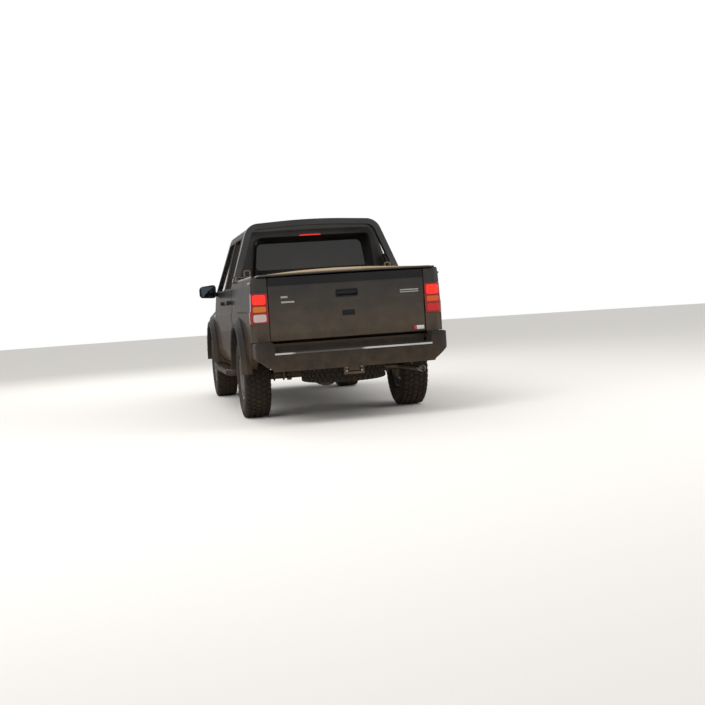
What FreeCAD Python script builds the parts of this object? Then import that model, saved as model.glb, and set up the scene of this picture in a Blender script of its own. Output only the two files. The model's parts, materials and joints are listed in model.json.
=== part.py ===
import FreeCAD, Part
import math
import os

# A double-cab pickup truck on a ladder frame, in millimetres. X points forward, Y to the left and Z up.
# The origin is on the ground, below the middle of the truck's bounding box.
V = FreeCAD.Vector

# Overall layout
overall_length = 5120.0
body_half_width = 856.0
roof_z = 1880.0
tyre_radius = 385.0
shut_gap = 7.0          # between a moving panel and its opening
seat_gap = 0.3          # between pieces that rest on each other
running_clearance = 0.05


def along(x):
    # A station along the truck, drawn for a length of 5120, which moves with the overall length.
    return x * overall_length / 5120


rear_end = -overall_length / 2
front_end = overall_length / 2
rear_axle_x = along(-1360)
front_axle_x = along(1680)
outer_y = body_half_width + 300     # clear of the body's sides
middle_y = body_half_width - 456    # well inside them

# Wheels
wheel_inset = 106.0     # from the body side in to a wheel's middle plane
wheel_y = body_half_width - wheel_inset
wheel_z = tyre_radius
tyre_width = 245.0
rim_radius = 203.0
arch_radius = tyre_radius + 95
flare_width = 88.0      # from the arch's edge out over the body side
spindle_radius = 30.0
brake_disc_radius = 138.0

# Body side, shared by cab, doors, wings and load bed
sill_z = 430.0
swage_z = 1003.0
belt_z = 1225.0
wall = 60.0             # cab walls and doors, skin to trim
door_skin = 15.0
door_setback = 28.0     # inner frame of a door stands back from its rear edge

# Cab
cab_rear = along(-735)
cowl_x = along(1290)
cowl_z = 1165.0
header_x = along(740)
header_z = roof_z - 80
roof_edge_z = roof_z - 38
roof_half_width = body_half_width - 204
screen_bow = 4200.0     # radius of the windscreen's curve, seen along the glass
floor_z = 610.0
floor_bottom_z = 580.0
tunnel_half_width = body_half_width - 291
door_front_x = along(1075)
door_bottom_z = 470.0
door_top_z = header_z - 4
pillar_x = along(36)
rear_door_rear_x = along(-640)
glass_depth = 24.0
glass_thickness = 5.0

# Front end
hood_rear_x = cowl_x + 20
hood_front_z = 1070.0
nose_x = front_end - 60
hood_front_x = nose_x - 60
hood_half_width = body_half_width - 216
hood_thickness = 26.0
wing_thickness = 34.0
wing_top_y = hood_half_width    # the wings' tops reach in to here beside the cowl
lamp_z = (800.0, 950.0)
lamp_y = (body_half_width - 376, body_half_width - 66)
fog_y = body_half_width - 236
grille_half_width = lamp_y[0] - 20
front_bumper_z = (440.0, 740.0)
bumper_skin = 38.0

# Load bed
bed_gap = 18.0
bed_front = cab_rear - bed_gap
bed_rear = rear_end + 188
bed_top_z = 1290.0
bed_floor_z = 740.0
bed_floor_bottom_z = 700.0
bed_inner_half_width = body_half_width - 81
bed_wall = 48.0
gate_post = 166.0       # from the body side in to the tailgate
gate_half_width = body_half_width - gate_post
gate_thickness = 52.0
gate_bottom_z = 728.0
gate_top_z = 1274.0
gate_pin_radius = 9.0
gate_pin_reach = 32.0
gate_hinge_x = bed_rear + gate_thickness / 2
gate_hinge_z = gate_bottom_z + 20
gate_crease_z = (985.0, 1045.0)
handle_z = (1078.0, 1146.0)
handle_half_width = 100.0
tail_lamp_z = (890.0, 1150.0)
tail_lamp_depth = 62.0
bar_foot_y = body_half_width - 37
bar_width = 58.0

# Rear bumper
bumper_step_z = 640.0
bumper_corner_z = 724.0
bumper_bottom_z = 475.0
bumper_half_width = body_half_width - 12

# Rear springs and axle
axle_radius = 41.0
spring_y = wheel_y - 243
spring_width = 62.0
spring_reach = along(600)
spring_eye_z = wheel_z + 122
spring_pin_radius = 9.0
spring_pins = [(rear_axle_x + spring_reach, spring_eye_z),
               (rear_axle_x - spring_reach - 40, spring_eye_z + 80)]

# Spare wheel, hung flat below the frame
spare_x = along(-1975)
spare_z = 455.0

# Frame
rail_width = 70.0
rail_height = 130.0
rail_front_y = wheel_y - 380
rail_rear_y = wheel_y - 315
rail_front_z = 545.0
rail_middle_z = 505.0
rail_rear_z = 605.0
rail_front_x = nose_x - 60
rail_rear_x = bed_rear + 60

# Engine and gearbox
engine_half_width = rail_front_y - 130
engine_x = (along(1345), along(1960))
gearbox_rear_x = along(520)

# Steering and seats
kingpin_offset = 95.0
kingpin_y = wheel_y - kingpin_offset
seat_y = body_half_width - 486
front_seat_x = along(40)
steering_centre = V(cowl_x - 514, -seat_y, 1092)
steering_axis = V(-0.894, 0, 0.447)


def place(plane, u, v, w):
    # The point (u, v) drawn in a plane, w along that plane's normal.
    if plane == "side":
        return V(u, w, v)
    if plane == "front":
        return V(w, u, v)
    return V(u, v, w)


def normal(plane):
    return {"side": V(0, 1, 0), "front": V(1, 0, 0), "plan": V(0, 0, 1)}[plane]


def outline(corners, plane, w):
    # Closed wire through corners (u, v, radius), each rounded by a tangent arc.
    count = len(corners)
    edges = []
    ends = []
    for i, (u, v, radius) in enumerate(corners):
        here = V(u, v, 0)
        before = (V(corners[i - 1][0], corners[i - 1][1], 0) - here)
        after = (V(corners[(i + 1) % count][0], corners[(i + 1) % count][1], 0) - here)
        room = 0.499 * min(before.Length, after.Length)
        before.normalize()
        after.normalize()
        half = before.getAngle(after) / 2
        if radius <= 0 or half > math.pi / 2 - 1e-4:
            ends.append((here, here, here))
            continue
        reach = min(radius / math.tan(half), room)
        centre = here + (before + after).normalize() * (reach / math.cos(half))
        middle = centre + (here - centre).normalize() * (reach * math.tan(half))
        ends.append((here + before * reach, middle, here + after * reach))

    def to_space(p):
        return place(plane, p.x, p.y, w)

    for i, (start, middle, end) in enumerate(ends):
        last = ends[i - 1][2]
        if (start - last).Length > 1e-6:
            edges.append(Part.LineSegment(to_space(last), to_space(start)).toShape())
        if (end - start).Length > 1e-6:
            edges.append(Part.Arc(to_space(start), to_space(middle), to_space(end)).toShape())
    return Part.Wire(edges)


def prism(corners, plane, start, end, lean=None):
    # Solid between two planes, with that outline. lean shifts the far end sideways.
    face = Part.Face(outline(corners, plane, start))
    return face.extrude(normal(plane) * (end - start) + (lean or V(0, 0, 0)))


def crossing(p, d, q, e):
    # Where the line from p along d meets the line from q along e.
    bottom = d[0] * e[1] - d[1] * e[0]
    if abs(bottom) < 1e-9:
        return q
    t = ((q[0] - p[0]) * e[1] - (q[1] - p[1]) * e[0]) / bottom
    return (p[0] + d[0] * t, p[1] + d[1] * t)


def shifted(a, b, side, distance):
    # The line through a and b moved to its left (side 1) or right (side -1), as a point and a direction.
    d = (b[0] - a[0], b[1] - a[1])
    size = math.hypot(*d)
    return (a[0] - side * d[1] / size * distance, a[1] + side * d[0] / size * distance), d


def inset(corners, distance):
    # The same outline with every side moved inwards, and its corner radii to match.
    count = len(corners)
    area = sum(corners[i - 1][0] * corners[i][1] - corners[i][0] * corners[i - 1][1] for i in range(count))
    side = 1 if area > 0 else -1
    moved = []
    for i, here in enumerate(corners):
        before = corners[i - 1]
        after = corners[(i + 1) % count]
        p, d = shifted(before, here, side, distance)
        q, e = shifted(here, after, side, distance)
        turn = (d[0] * e[1] - d[1] * e[0]) * side
        radius = here[2] - distance if turn > 0 else here[2] + distance
        moved.append((*crossing(p, d, q, e), radius if here[2] > 0 and radius > 0.3 * distance else 0.0))
    return moved


def ribbon(path, width):
    # Outline of a band of that width along an open path of (u, v, radius).
    sides = []
    for side in (1, -1):
        line = []
        for i, here in enumerate(path):
            before = path[max(i - 1, 0)]
            after = path[min(i + 1, len(path) - 1)]
            if i in (0, len(path) - 1):
                start, end = (here, after) if i == 0 else (before, here)
                p, d = shifted(start, end, side, width / 2)
                line.append((p[0] + (here[0] - start[0]), p[1] + (here[1] - start[1]), 0.0))
                continue
            p, d = shifted(before, here, side, width / 2)
            q, e = shifted(here, after, side, width / 2)
            turn = (d[0] * e[1] - d[1] * e[0]) * side
            radius = here[2] - width / 2 if turn > 0 else here[2] + width / 2
            line.append((*crossing(p, d, q, e), max(radius, 0.0)))
        sides.append(line)
    return sides[0] + sides[1][::-1]


def box(x, y, z):
    return Part.makeBox(x[1] - x[0], y[1] - y[0], z[1] - z[0], V(x[0], y[0], z[0]))


def rod(start, end, radius):
    return Part.makeCylinder(radius, (end - start).Length, start, end - start)


def joined(shapes):
    whole = shapes[0]
    if len(shapes) > 1:
        whole = whole.fuse(shapes[1:])
    return whole.removeSplitter()


def cut(shape, tools):
    return shape.cut(tools)


def common(shapes):
    whole = shapes[0]
    for tool in shapes[1:]:
        whole = whole.common(tool)
    return whole


def mirrored(shape):
    return shape.mirror(V(0, 0, 0), V(0, 1, 0))


def both_sides(shape):
    # The left piece and its mirror image, as two solids of one node.
    return Part.makeCompound([shape, mirrored(shape)])


def pipe(points, radius, bend):
    # Round bar or tube along straight runs, with tangent arcs between them or, at bend 0, mitred corners.
    edges = []
    last = points[0]
    for i in range(1, len(points) - 1 if bend else 0):
        here = points[i]
        before = (points[i - 1] - here)
        after = (points[i + 1] - here)
        room = 0.45 * min(before.Length, after.Length)
        before.normalize()
        after.normalize()
        half = before.getAngle(after) / 2
        reach = min(bend / math.tan(half), room)
        centre = here + (before + after).normalize() * (reach / math.cos(half))
        middle = centre + (here - centre).normalize() * (reach * math.tan(half))
        start = here + before * reach
        end = here + after * reach
        edges.append(Part.LineSegment(last, start).toShape())
        edges.append(Part.Arc(start, middle, end).toShape())
        last = end
    if bend:
        edges.append(Part.LineSegment(last, points[-1]).toShape())
    else:
        edges = [Part.LineSegment(a, b).toShape() for a, b in zip(points, points[1:])]
    ring = Part.Wire(Part.makeCircle(radius, points[0], points[1] - points[0]))
    return Part.Wire(edges).makePipeShell([ring], True, True, 0 if bend else 1)


def both_halves(half):
    # A closed outline from its left half, as half width, height, radius. A corner at 0 is kept once.
    right = [(-u, v, radius) for u, v, radius in reversed(half) if abs(u) > 1e-6]
    return half + right


def plan_of(left):
    # A closed outline seen from above, from its left half as length, half width, radius.
    right = [(u, -v, radius) for u, v, radius in reversed(left) if abs(v) > 1e-6]
    return left + right


# Half outline of the body side: half width, height, corner radius
body_side = [
    (body_half_width - 50, sill_z, 30),
    (body_half_width - 8, sill_z + 170, 220),
    (body_half_width, swage_z - 18, 5),
    (body_half_width - 10, swage_z, 5),
    (body_half_width - 20, belt_z, 25),
]
# Cab section: the body side, the lean of the side glass and the crown of the roof
cab_section = both_halves(body_side + [(roof_half_width, roof_edge_z, 95), (0, roof_z, 6000)])
# Cab from the side: length along the truck, height, corner radius
cab_profile = [
    (cab_rear, sill_z, 30),
    (cab_rear, belt_z + 15, 60),
    (cab_rear + 50, header_z, 30),
    (cab_rear + 95, roof_z - 14, 130),
    (cab_rear + 700, roof_z + 4, 3000),
    (header_x - 90, roof_z - 32, 260),
    (header_x, header_z, 200),
    (cowl_x, cowl_z, 20),
    (cowl_x, 860, 90),
    (cowl_x - 140, sill_z, 30),
]
# Cab from above
cab_plan = plan_of([(cowl_x, body_half_width + 5, 20), (cab_rear, body_half_width + 5, 70)])


def screen_barrel(depth):
    # A wide cylinder along the windscreen's slope, whose skin is the curve of the glass.
    # It stands a hair outside the screen's flat, so the two meet in a line each side of the middle.
    slope = V(header_x - cowl_x, 0, header_z - cowl_z).normalize()
    inward = V(-slope.z, 0, slope.x)
    if inward.x > 0:
        inward = inward * -1
    middle = V(cowl_x, 0, cowl_z) + inward * (screen_bow - 1)
    return Part.makeCylinder(screen_bow - depth, 9000, middle - slope * 4500, slope)


cab_forms = {}


def cab_envelope(depth):
    # The cab's outer form moved inwards by a depth.
    if depth not in cab_forms:
        cab_forms[depth] = common([
            prism(inset(cab_profile, depth), "side", -outer_y, outer_y),
            prism(inset(cab_section, depth), "front", cab_rear - 200, cowl_x + 200),
            prism(inset(cab_plan, depth), "plan", 0, roof_z + 320),
            screen_barrel(depth),
        ])
    return cab_forms[depth]


def side_core(depth):
    # All that lies further in than the cab's sides, with no floor or roof.
    half = inset(cab_section, depth)[:6]
    (u, v, radius), (top_u, top_v, top_radius) = half[4:]
    lean = (top_u - u) / (top_v - v)
    top = roof_z + 320
    form = [(half[0][0], 0, 0)] + half[1:5] + [(u + (top - v) * lean, top, 0)]
    return prism(both_halves(form), "front", cab_rear - 200, cowl_x + 200)


def side_layer(outer, inner):
    return cut(cab_envelope(outer), [side_core(inner)])


# Door outlines from the side, as length along the truck, height, corner radius
screen_lean = (header_x - cowl_x) / (header_z - cowl_z)
a_pillar = 150.0
front_door = [
    (pillar_x + shut_gap / 2, door_bottom_z, 30),
    (pillar_x + shut_gap / 2, door_top_z, 40),
    (header_x + (door_top_z - header_z) * screen_lean - a_pillar, door_top_z, 60),
    (door_front_x, cowl_z + (door_front_x + a_pillar - cowl_x) / screen_lean, 60),
    (door_front_x, door_bottom_z, 60),
]
rear_door = [
    (rear_door_rear_x, door_bottom_z, 40),
    (rear_door_rear_x, door_top_z, 110),
    (pillar_x - shut_gap / 2, door_top_z, 40),
    (pillar_x - shut_gap / 2, door_bottom_z, 30),
]
frame_width = 55.0
window_bottom_z = belt_z + 18


def window_of(door):
    # A door's window: its outline inside the frame, cut off level at the belt.
    inner = inset([(u, v, max(radius, 45)) for u, v, radius in door], frame_width)
    kept = []
    for i, (u, v, radius) in enumerate(inner):
        last_u, last_v, last_radius = inner[i - 1]
        if (v > window_bottom_z) != (last_v > window_bottom_z):
            share = (window_bottom_z - last_v) / (v - last_v)
            kept.append((last_u + (u - last_u) * share, window_bottom_z, 22))
        if v > window_bottom_z:
            kept.append((u, v, radius))
    return kept


def with_setback(door):
    # The door's inner frame: 8 mm inside the skin, and further forward at the rear edge.
    inner = inset(door, 8)
    rear = min(u for u, v, radius in inner)
    return [(u + door_setback if u < rear + 1 else u, v, radius) for u, v, radius in inner]


def door_handle(door):
    # Pull handle proud of the skin near the door's rear edge, over a finger pocket.
    rear = min(u for u, v, radius in door)
    grip = [(rear + 60, 1085, 14), (rear + 235, 1085, 14), (rear + 235, 1125, 14), (rear + 60, 1125, 14)]
    outer = prism(grip, "side", body_half_width - 156, body_half_width + 28)
    return cut(outer, [cab_envelope(3), prism(inset(grip, -20), "side", middle_y, body_half_width + 10).cut(
        prism([(rear + 60, 1060, 0), (rear + 85, 1060, 0), (rear + 85, 1150, 0), (rear + 60, 1150, 0)],
              "side", middle_y, outer_y)).cut(
        prism([(rear + 210, 1060, 0), (rear + 235, 1060, 0), (rear + 235, 1150, 0), (rear + 210, 1150, 0)],
              "side", middle_y, outer_y))])


def door_panel(door):
    skin = common([side_layer(0, door_skin), prism(door, "side", middle_y, outer_y)])
    frame = common([side_layer(door_skin, wall), prism(with_setback(door), "side", middle_y, outer_y)])
    window = prism(window_of(door), "side", middle_y, outer_y)
    return joined([cut(joined([skin, frame]), [window]), door_handle(door)])


def door_glass(door):
    pane = side_layer(glass_depth, glass_depth + glass_thickness)
    return common([pane, prism(inset(window_of(door), seat_gap), "side", middle_y, outer_y)])


# Windscreen and rear window from the front: half width, height, radius
screen_outline = both_halves([(body_half_width - 156, cowl_z + 45, 60),
                              (roof_half_width - 70, header_z - 30, 70)])
rear_window_outline = both_halves([(body_half_width - 246, belt_z + 55, 60),
                                   (roof_half_width - 92, roof_z - 165, 60)])


def tunnel(margin):
    # Hump over the gearbox in the cab's floor.
    rear = gearbox_rear_x - 40
    profile = [(rear, floor_bottom_z - 40, 0), (cowl_x + 110, floor_bottom_z - 40, 0),
               (cowl_x + 110, 800 + margin, 0), (rear + 640, 780 + margin, 80),
               (rear + 280, 640 + margin, 120),
               (rear, floor_bottom_z + margin, 0)]
    return prism(profile, "side", -160 - margin, 160 + margin)


def cab_shell():
    hollow = common([cab_envelope(wall), box((rear_end, front_end), (-outer_y, outer_y),
                                             (floor_z, roof_z + 320))])
    pillar_zone = box((pillar_x - 45, pillar_x + 45), (-outer_y, outer_y), (floor_z - 100, roof_z + 320))
    core = side_core(wall + shut_gap)
    pillars = common([cab_envelope(wall / 2), pillar_zone, core]).cut(side_core(wall + shut_gap + 28))
    hump = common([tunnel(30), cab_envelope(wall / 2)])
    tools = [box((rear_end, front_end), (-tunnel_half_width, tunnel_half_width), (0, floor_bottom_z)),
             tunnel(0)]
    for door in (front_door, rear_door):
        opening = prism(inset(door, -shut_gap), "side", middle_y, outer_y).cut(core)
        tools += [opening, mirrored(opening)]
    tools.append(prism(screen_outline, "front", header_x - 120, cowl_x + 50))
    tools.append(prism(rear_window_outline, "front", cab_rear - 50, cab_rear + 150))
    # The front wheels' liners keep clear of the footwell.
    liner_space = arch(front_axle_x, arch_radius + 16 + seat_gap, wheel_y - 250, outer_y)
    tools += [liner_space, mirrored(liner_space)]
    # The wings lie over the cab's corners ahead of the front doors.
    wing_space = cut(nose_section_form(-seat_gap), [nose_section_form(wing_thickness + seat_gap)])
    for side in (1, -1):
        y = sorted((side * (wing_top_y - seat_gap), side * outer_y))
        tools.append(common([wing_space, box((door_front_x + shut_gap - seat_gap, front_end), y,
                                             (0, 1300))]))
    shell = cut(joined([cut(cab_envelope(0), [hollow]), pillars, hump]), tools)
    hinges = []
    for side in (1, -1):
        for z in (620, 930):
            y = sorted((side * (body_half_width - wall - 20), side * (body_half_width - door_skin - 36)))
            hinges.append(box((door_front_x - 8 + seat_gap, door_front_x + 20), y, (z, z + 80)))
            leaf = common([box((pillar_x - 30, pillar_x - 6), (-outer_y, outer_y), (z, z + 80)),
                           side_core(wall + seat_gap)])
            leaf = leaf.cut(side_core(wall + shut_gap + 10))
            hinges.append(common([leaf, box((rear_end, front_end), sorted((0, side * outer_y)),
                                            (0, roof_z))]))
        y = sorted((side * (hood_half_width - 160), side * (hood_half_width - 100)))
        hinges.append(box((cowl_x - 30, hood_rear_x - seat_gap), y, (cowl_z - 60, cowl_z - 28)))
    return joined([shell] + hinges)


def cab_glass():
    screen_pane = cut(cab_envelope(glass_depth / 2), [cab_envelope(glass_depth / 2 + glass_thickness)])
    front = common([
        screen_pane,
        prism(inset(screen_outline, seat_gap), "front", header_x - 100, cowl_x + 50),
    ])
    rear = common([
        screen_pane,
        prism(inset(rear_window_outline, seat_gap), "front", cab_rear - 50, cab_rear + 150),
    ])
    return Part.makeCompound([front, rear])


# Front end from the side and from the front
hood_drop = hood_front_z - cowl_z
hood_run = hood_front_x - cowl_x
nose_profile = [
    (door_front_x + shut_gap, sill_z, 30),
    (door_front_x + shut_gap, cowl_z + 40, 0),
    (cowl_x, cowl_z + 10, 0),
    (hood_front_x, hood_front_z + 8, 60),
    (nose_x, hood_front_z - 60, 60),
    (nose_x + 8, 700, 40),
    (nose_x - 60, 560, 20),
    (nose_x - 300, sill_z, 20),
]
nose_section = both_halves(body_side[:4] + [
    (body_half_width - 22, cowl_z - 70, 60),
    (hood_half_width, cowl_z - 30, 120),
    (0, cowl_z + 12, 5200),
])
nose_plan = plan_of([
    (door_front_x - 75, body_half_width + 5, 0),
    (nose_x - 190, body_half_width + 5, 120),
    (nose_x - 14, body_half_width - 316, 420),
    (nose_x + 10, 0, 3000),
])
hood_outline = [
    (hood_rear_x, hood_half_width + 20, 30),
    (hood_rear_x, -hood_half_width - 20, 30),
    (hood_front_x - 60, -hood_half_width + 40, 60),
    (hood_front_x + 22, 260 - hood_half_width, 300),
    (hood_front_x + 34, 0, 3000),
    (hood_front_x + 22, hood_half_width - 260, 300),
    (hood_front_x - 60, hood_half_width - 40, 60),
]


def nose_section_form(depth):
    run = nose_x + 200 - (door_front_x - 200)
    lean = V(0, 0, hood_drop / hood_run * run)
    return prism(inset(nose_section, depth), "front", door_front_x - 200, door_front_x - 200 + run, lean)


def nose_envelope(depth):
    # The front end's outer form moved inwards by a depth. An inner form runs on past the rear edge.
    profile = inset(nose_profile, depth)
    if depth > 0:
        profile[:2] = [(u - depth - 60, v, radius) for u, v, radius in profile[:2]]
    return common([
        prism(profile, "side", -outer_y, outer_y),
        nose_section_form(depth),
        prism(inset(nose_plan, depth), "plan", 0, roof_z),
    ])


def hood():
    panel = cut(nose_envelope(0), [nose_envelope(hood_thickness)])
    upper = box((hood_rear_x - 10, nose_x + 50), (-outer_y, outer_y), (940, 1300))
    return common([panel, prism(hood_outline, "plan", 0, roof_z), upper])


def arch(x, radius, start, end):
    return Part.makeCylinder(radius, end - start, V(x, start, wheel_z), V(0, 1, 0))


def wing():
    # Left front wing: skin, wheel-arch liner and the shelf beside the hood.
    skin = cut(nose_envelope(0), [nose_envelope(wing_thickness)])
    skin = common([skin, box((door_front_x, nose_x - 60), (lamp_y[0], outer_y), (0, 1300))])
    cowl_space = box((0, hood_rear_x - shut_gap), (0, wing_top_y), (0, 1300))
    liner_ring = cut(arch(front_axle_x, arch_radius + 16, wheel_y - 250, body_half_width + 44),
                     [arch(front_axle_x, arch_radius + 6, middle_y, outer_y)])
    liner_reach = arch_radius + 50
    liner_zone = box((front_axle_x - liner_reach, front_axle_x + liner_reach), (wheel_y - 230, outer_y),
                     (wheel_z - 20, 1100))
    liner = common([liner_ring, liner_zone, nose_envelope(wing_thickness / 2)])
    hood_hole = prism(inset(hood_outline, -shut_gap), "plan", 0, roof_z)
    lamp_hole = box((nose_x - 170, nose_x + 50), (lamp_y[0] - 60, lamp_y[1] + 4),
                    (lamp_z[0] - seat_gap, lamp_z[1] + 4))
    front_hole = box((nose_x - 274, nose_x + 50), (middle_y, outer_y), (0, front_bumper_z[1] + 4))
    cab_side = common([nose_section_form(wing_thickness),
                       box((0, hood_rear_x - shut_gap), (0, outer_y), (0, 1300))])
    tools = [arch(front_axle_x, arch_radius, middle_y, outer_y), hood_hole, lamp_hole, front_hole,
             cowl_space, cab_side]
    return joined([cut(skin, tools), cut(liner, [hood_hole])])


def front_panel():
    # Grille surround: nose skin between the lamps, with the grille's mouth cut out, and its bars.
    skin = cut(nose_envelope(0), [nose_envelope(22)])
    zone = box((nose_x - 120, nose_x + 50), (-lamp_y[1], lamp_y[1]),
               (front_bumper_z[1] + 4, hood_front_z + 20))
    skin = common([skin, zone])
    tools = [prism(inset(hood_outline, -shut_gap), "plan", 960, roof_z)]
    for side in (1, -1):
        y = sorted((side * (lamp_y[0] - seat_gap), side * outer_y))
        tools.append(box((nose_x - 300, nose_x + 50), y, (lamp_z[0] - 60, roof_z)))
    mouth = [(-grille_half_width, lamp_z[0] - 10, 30), (grille_half_width, lamp_z[0] - 10, 30),
             (grille_half_width, lamp_z[1] + 10, 30), (-grille_half_width, lamp_z[1] + 10, 30)]
    tools.append(prism(mouth, "front", nose_x - 200, nose_x + 50))
    surround = cut(skin, tools)
    bars = []
    for i in range(4):
        z = lamp_z[0] + 12 + i * 42
        bars.append(box((nose_x - 45, nose_x - 18), (-grille_half_width - 5, grille_half_width + 5),
                        (z, z + 16)))
    posts = [box((nose_x - 60, nose_x - 40), (y - 6, y + 6), (lamp_z[0] - 12, lamp_z[1] + 12))
             for y in (-0.65 * grille_half_width, -0.22 * grille_half_width,
                       0.22 * grille_half_width, 0.65 * grille_half_width)]
    back = [box((nose_x - 60, nose_x - 18), (s - 8, s + 8), (lamp_z[0] - 12, lamp_z[1] + 12))
            for s in (-grille_half_width, grille_half_width)]
    return joined([surround] + bars + posts + back)


def front_lamps():
    body = common([nose_envelope(2), box((nose_x - 160, nose_x + 50), lamp_y, lamp_z)])
    fog = rod(V(nose_x - 20, fog_y, 560), V(nose_x + 35, fog_y, 560), 42)
    return Part.makeCompound([body, mirrored(body), fog, mirrored(fog)])


def front_bumper_form(depth):
    plan = plan_of([
        (nose_x - 270, body_half_width + 8, 0),
        (nose_x - 150, body_half_width + 8, 150),
        (front_end - 22, body_half_width - 296, 380),
        (front_end + 3, 0, 4000),
    ])
    profile = [(nose_x - 280, front_bumper_z[0], 20), (front_end - 40, front_bumper_z[0], 60),
               (front_end + 20, 540, 60), (front_end + 20, front_bumper_z[1] - 60, 50),
               (front_end - 40, front_bumper_z[1], 20), (nose_x - 280, front_bumper_z[1], 0)]
    return common([
        prism(inset(plan, depth), "plan", 0, 1000),
        prism(inset(profile, depth), "side", -outer_y, outer_y),
    ])


def front_bumper():
    opening = box((0, nose_x - 120), (136 - body_half_width, body_half_width - 136), (0, roof_z))
    intake = both_halves([(grille_half_width - 40, 490, 25), (grille_half_width, 585, 25)])
    tools = [front_bumper_form(bumper_skin), opening, prism(intake, "front", nose_x - 100, front_end + 50)]
    for side in (1, -1):
        tools.append(rod(V(nose_x - 60, side * fog_y, 560), V(front_end + 50, side * fog_y, 560),
                         42 + seat_gap))
    return cut(front_bumper_form(0), tools)


def bed_form():
    profile = [(bed_front, 480, 0), (bed_front, bed_top_z, 0), (bed_rear, bed_top_z, 20),
               (bed_rear, bumper_corner_z + 6, 0), (bed_rear + 140, bumper_corner_z + 6, 20),
               (bed_rear + 220, 600, 60), (bed_rear + 480, 480, 60)]
    section = both_halves([(body_half_width - 50, sill_z, 30)] + body_side[1:4]
                          + [(body_half_width - 20, belt_z, 60), (body_half_width - 30, bed_top_z, 18)])
    plan = plan_of([(bed_front, body_half_width + 5, 12), (bed_rear, body_half_width + 5, 70)])
    return common([prism(profile, "side", -outer_y, outer_y),
                   prism(section, "front", bed_rear - 50, bed_front + 50),
                   prism(plan, "plan", 0, roof_z)])


def bed():
    body = bed_form()
    inner = box((bed_rear + bed_wall, bed_front - bed_wall), (-bed_inner_half_width, bed_inner_half_width),
                (bed_floor_z, roof_z))
    under = box((bed_rear - 50, bed_front + 50), (-bed_inner_half_width, bed_inner_half_width),
                (0, bed_floor_bottom_z))
    doorway = box((bed_rear - 50, bed_rear + gate_thickness + shut_gap + 6),
                  (-gate_half_width - shut_gap, gate_half_width + shut_gap), (0, roof_z))
    body = cut(body, [inner, under, doorway])
    sills = [box((x - 35, x + 35), (-bed_inner_half_width - 5, bed_inner_half_width + 5),
                 (rail_rear_z + rail_height / 2, bed_floor_bottom_z + 5))
             for x in (bed_front - 107, rear_axle_x - 540, bed_rear + 132)]
    ribs = [box((bed_rear + bed_wall + 70, bed_front - bed_wall - 40), (y - 30, y + 30),
                (bed_floor_z - 5, bed_floor_z + 8))
            for y in [i * (bed_inner_half_width - 275) / 4 for i in range(-4, 5)]]
    body = joined([body] + sills + ribs)
    house_inner = wheel_y - 165
    tools = []
    houses = []
    for side in (1, -1):
        y = sorted((side * house_inner, side * outer_y))
        tools.append(arch(rear_axle_x, arch_radius, *y))
        cover = arch(rear_axle_x, arch_radius + 14,
                     *sorted((side * (house_inner - 14), side * (bed_inner_half_width + 5))))
        houses.append(common([cover, box((rear_end, 0), (-outer_y, outer_y),
                                         (bed_floor_bottom_z, roof_z))]))
    body = cut(joined([body] + houses), tools)
    pocket = box((bed_rear - 50, bed_rear + tail_lamp_depth + seat_gap),
                 (gate_half_width + shut_gap + 1, outer_y),
                 (tail_lamp_z[0] - 2, tail_lamp_z[1] + 2))
    pins = [rod(V(gate_hinge_x, s * (gate_half_width + shut_gap + 8), gate_hinge_z),
                V(gate_hinge_x, s * (gate_half_width - gate_pin_reach), gate_hinge_z), gate_pin_radius)
            for s in (1, -1)]
    return joined([cut(body, [pocket, mirrored(pocket)])] + pins)


def bed_post_form():
    section = both_halves([(body_half_width - 50, sill_z, 30)] + body_side[1:4]
                          + [(body_half_width - 20, belt_z, 60), (body_half_width - 30, bed_top_z, 18)])
    plan = plan_of([(bed_front, body_half_width + 5, 12), (bed_rear - 4, body_half_width + 5, 70)])
    return common([prism(section, "front", bed_rear - 50, bed_front + 50), prism(plan, "plan", 0, roof_z)])


def tail_lamps():
    lens = common([bed_post_form(), box((bed_rear - 50, bed_rear + tail_lamp_depth),
                                        (gate_half_width + shut_gap + 2, outer_y),
                                        tail_lamp_z)])
    high = common([cab_envelope(-14), box((cab_rear - 40, cab_rear + 60), (-110, 110),
                                          (roof_z - 158, roof_z - 120))])
    high = cut(high, [cab_envelope(-seat_gap)])
    return Part.makeCompound([lens, mirrored(lens), high])


handle_outline = both_halves([(handle_half_width, handle_z[0], 16), (handle_half_width, handle_z[1], 16)])


def tailgate():
    outer = bed_rear
    inner = bed_rear + gate_thickness
    profile = [(inner, gate_bottom_z, 0), (inner, gate_top_z, 8), (outer + 8, gate_top_z, 14),
               (outer, gate_top_z - 60, 60), (outer + 1, gate_crease_z[1], 12),
               (outer + 11, gate_crease_z[0], 12),
               (outer + 7, gate_bottom_z + 60, 100), (outer + 12, gate_bottom_z, 8)]
    panel = prism(profile, "side", -gate_half_width, gate_half_width)
    well = prism(handle_outline, "front", outer - 10, outer + 30)
    bores = [rod(V(gate_hinge_x, s * (gate_half_width + 10), gate_hinge_z),
                 V(gate_hinge_x, s * (gate_half_width - gate_pin_reach - 1), gate_hinge_z),
                 gate_pin_radius + running_clearance) for s in (1, -1)]
    return cut(panel, [well] + bores)


def tailgate_handle():
    # A bezel round a finger pocket, with the pull lever in its upper half.
    rim_line = inset(handle_outline, 0.5)
    bezel = prism(rim_line, "front", bed_rear - 4, bed_rear + 28)
    pocket = prism(inset(rim_line, 10), "front", bed_rear - 10, bed_rear + 20)
    reach = handle_half_width - 14
    paddle = both_halves([(reach, handle_z[0] + 26, 6), (reach, handle_z[1] - 14, 8)])
    lever = prism(paddle, "front", bed_rear - 2, bed_rear + 24)
    return joined([cut(bezel, [pocket]), lever])


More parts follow.
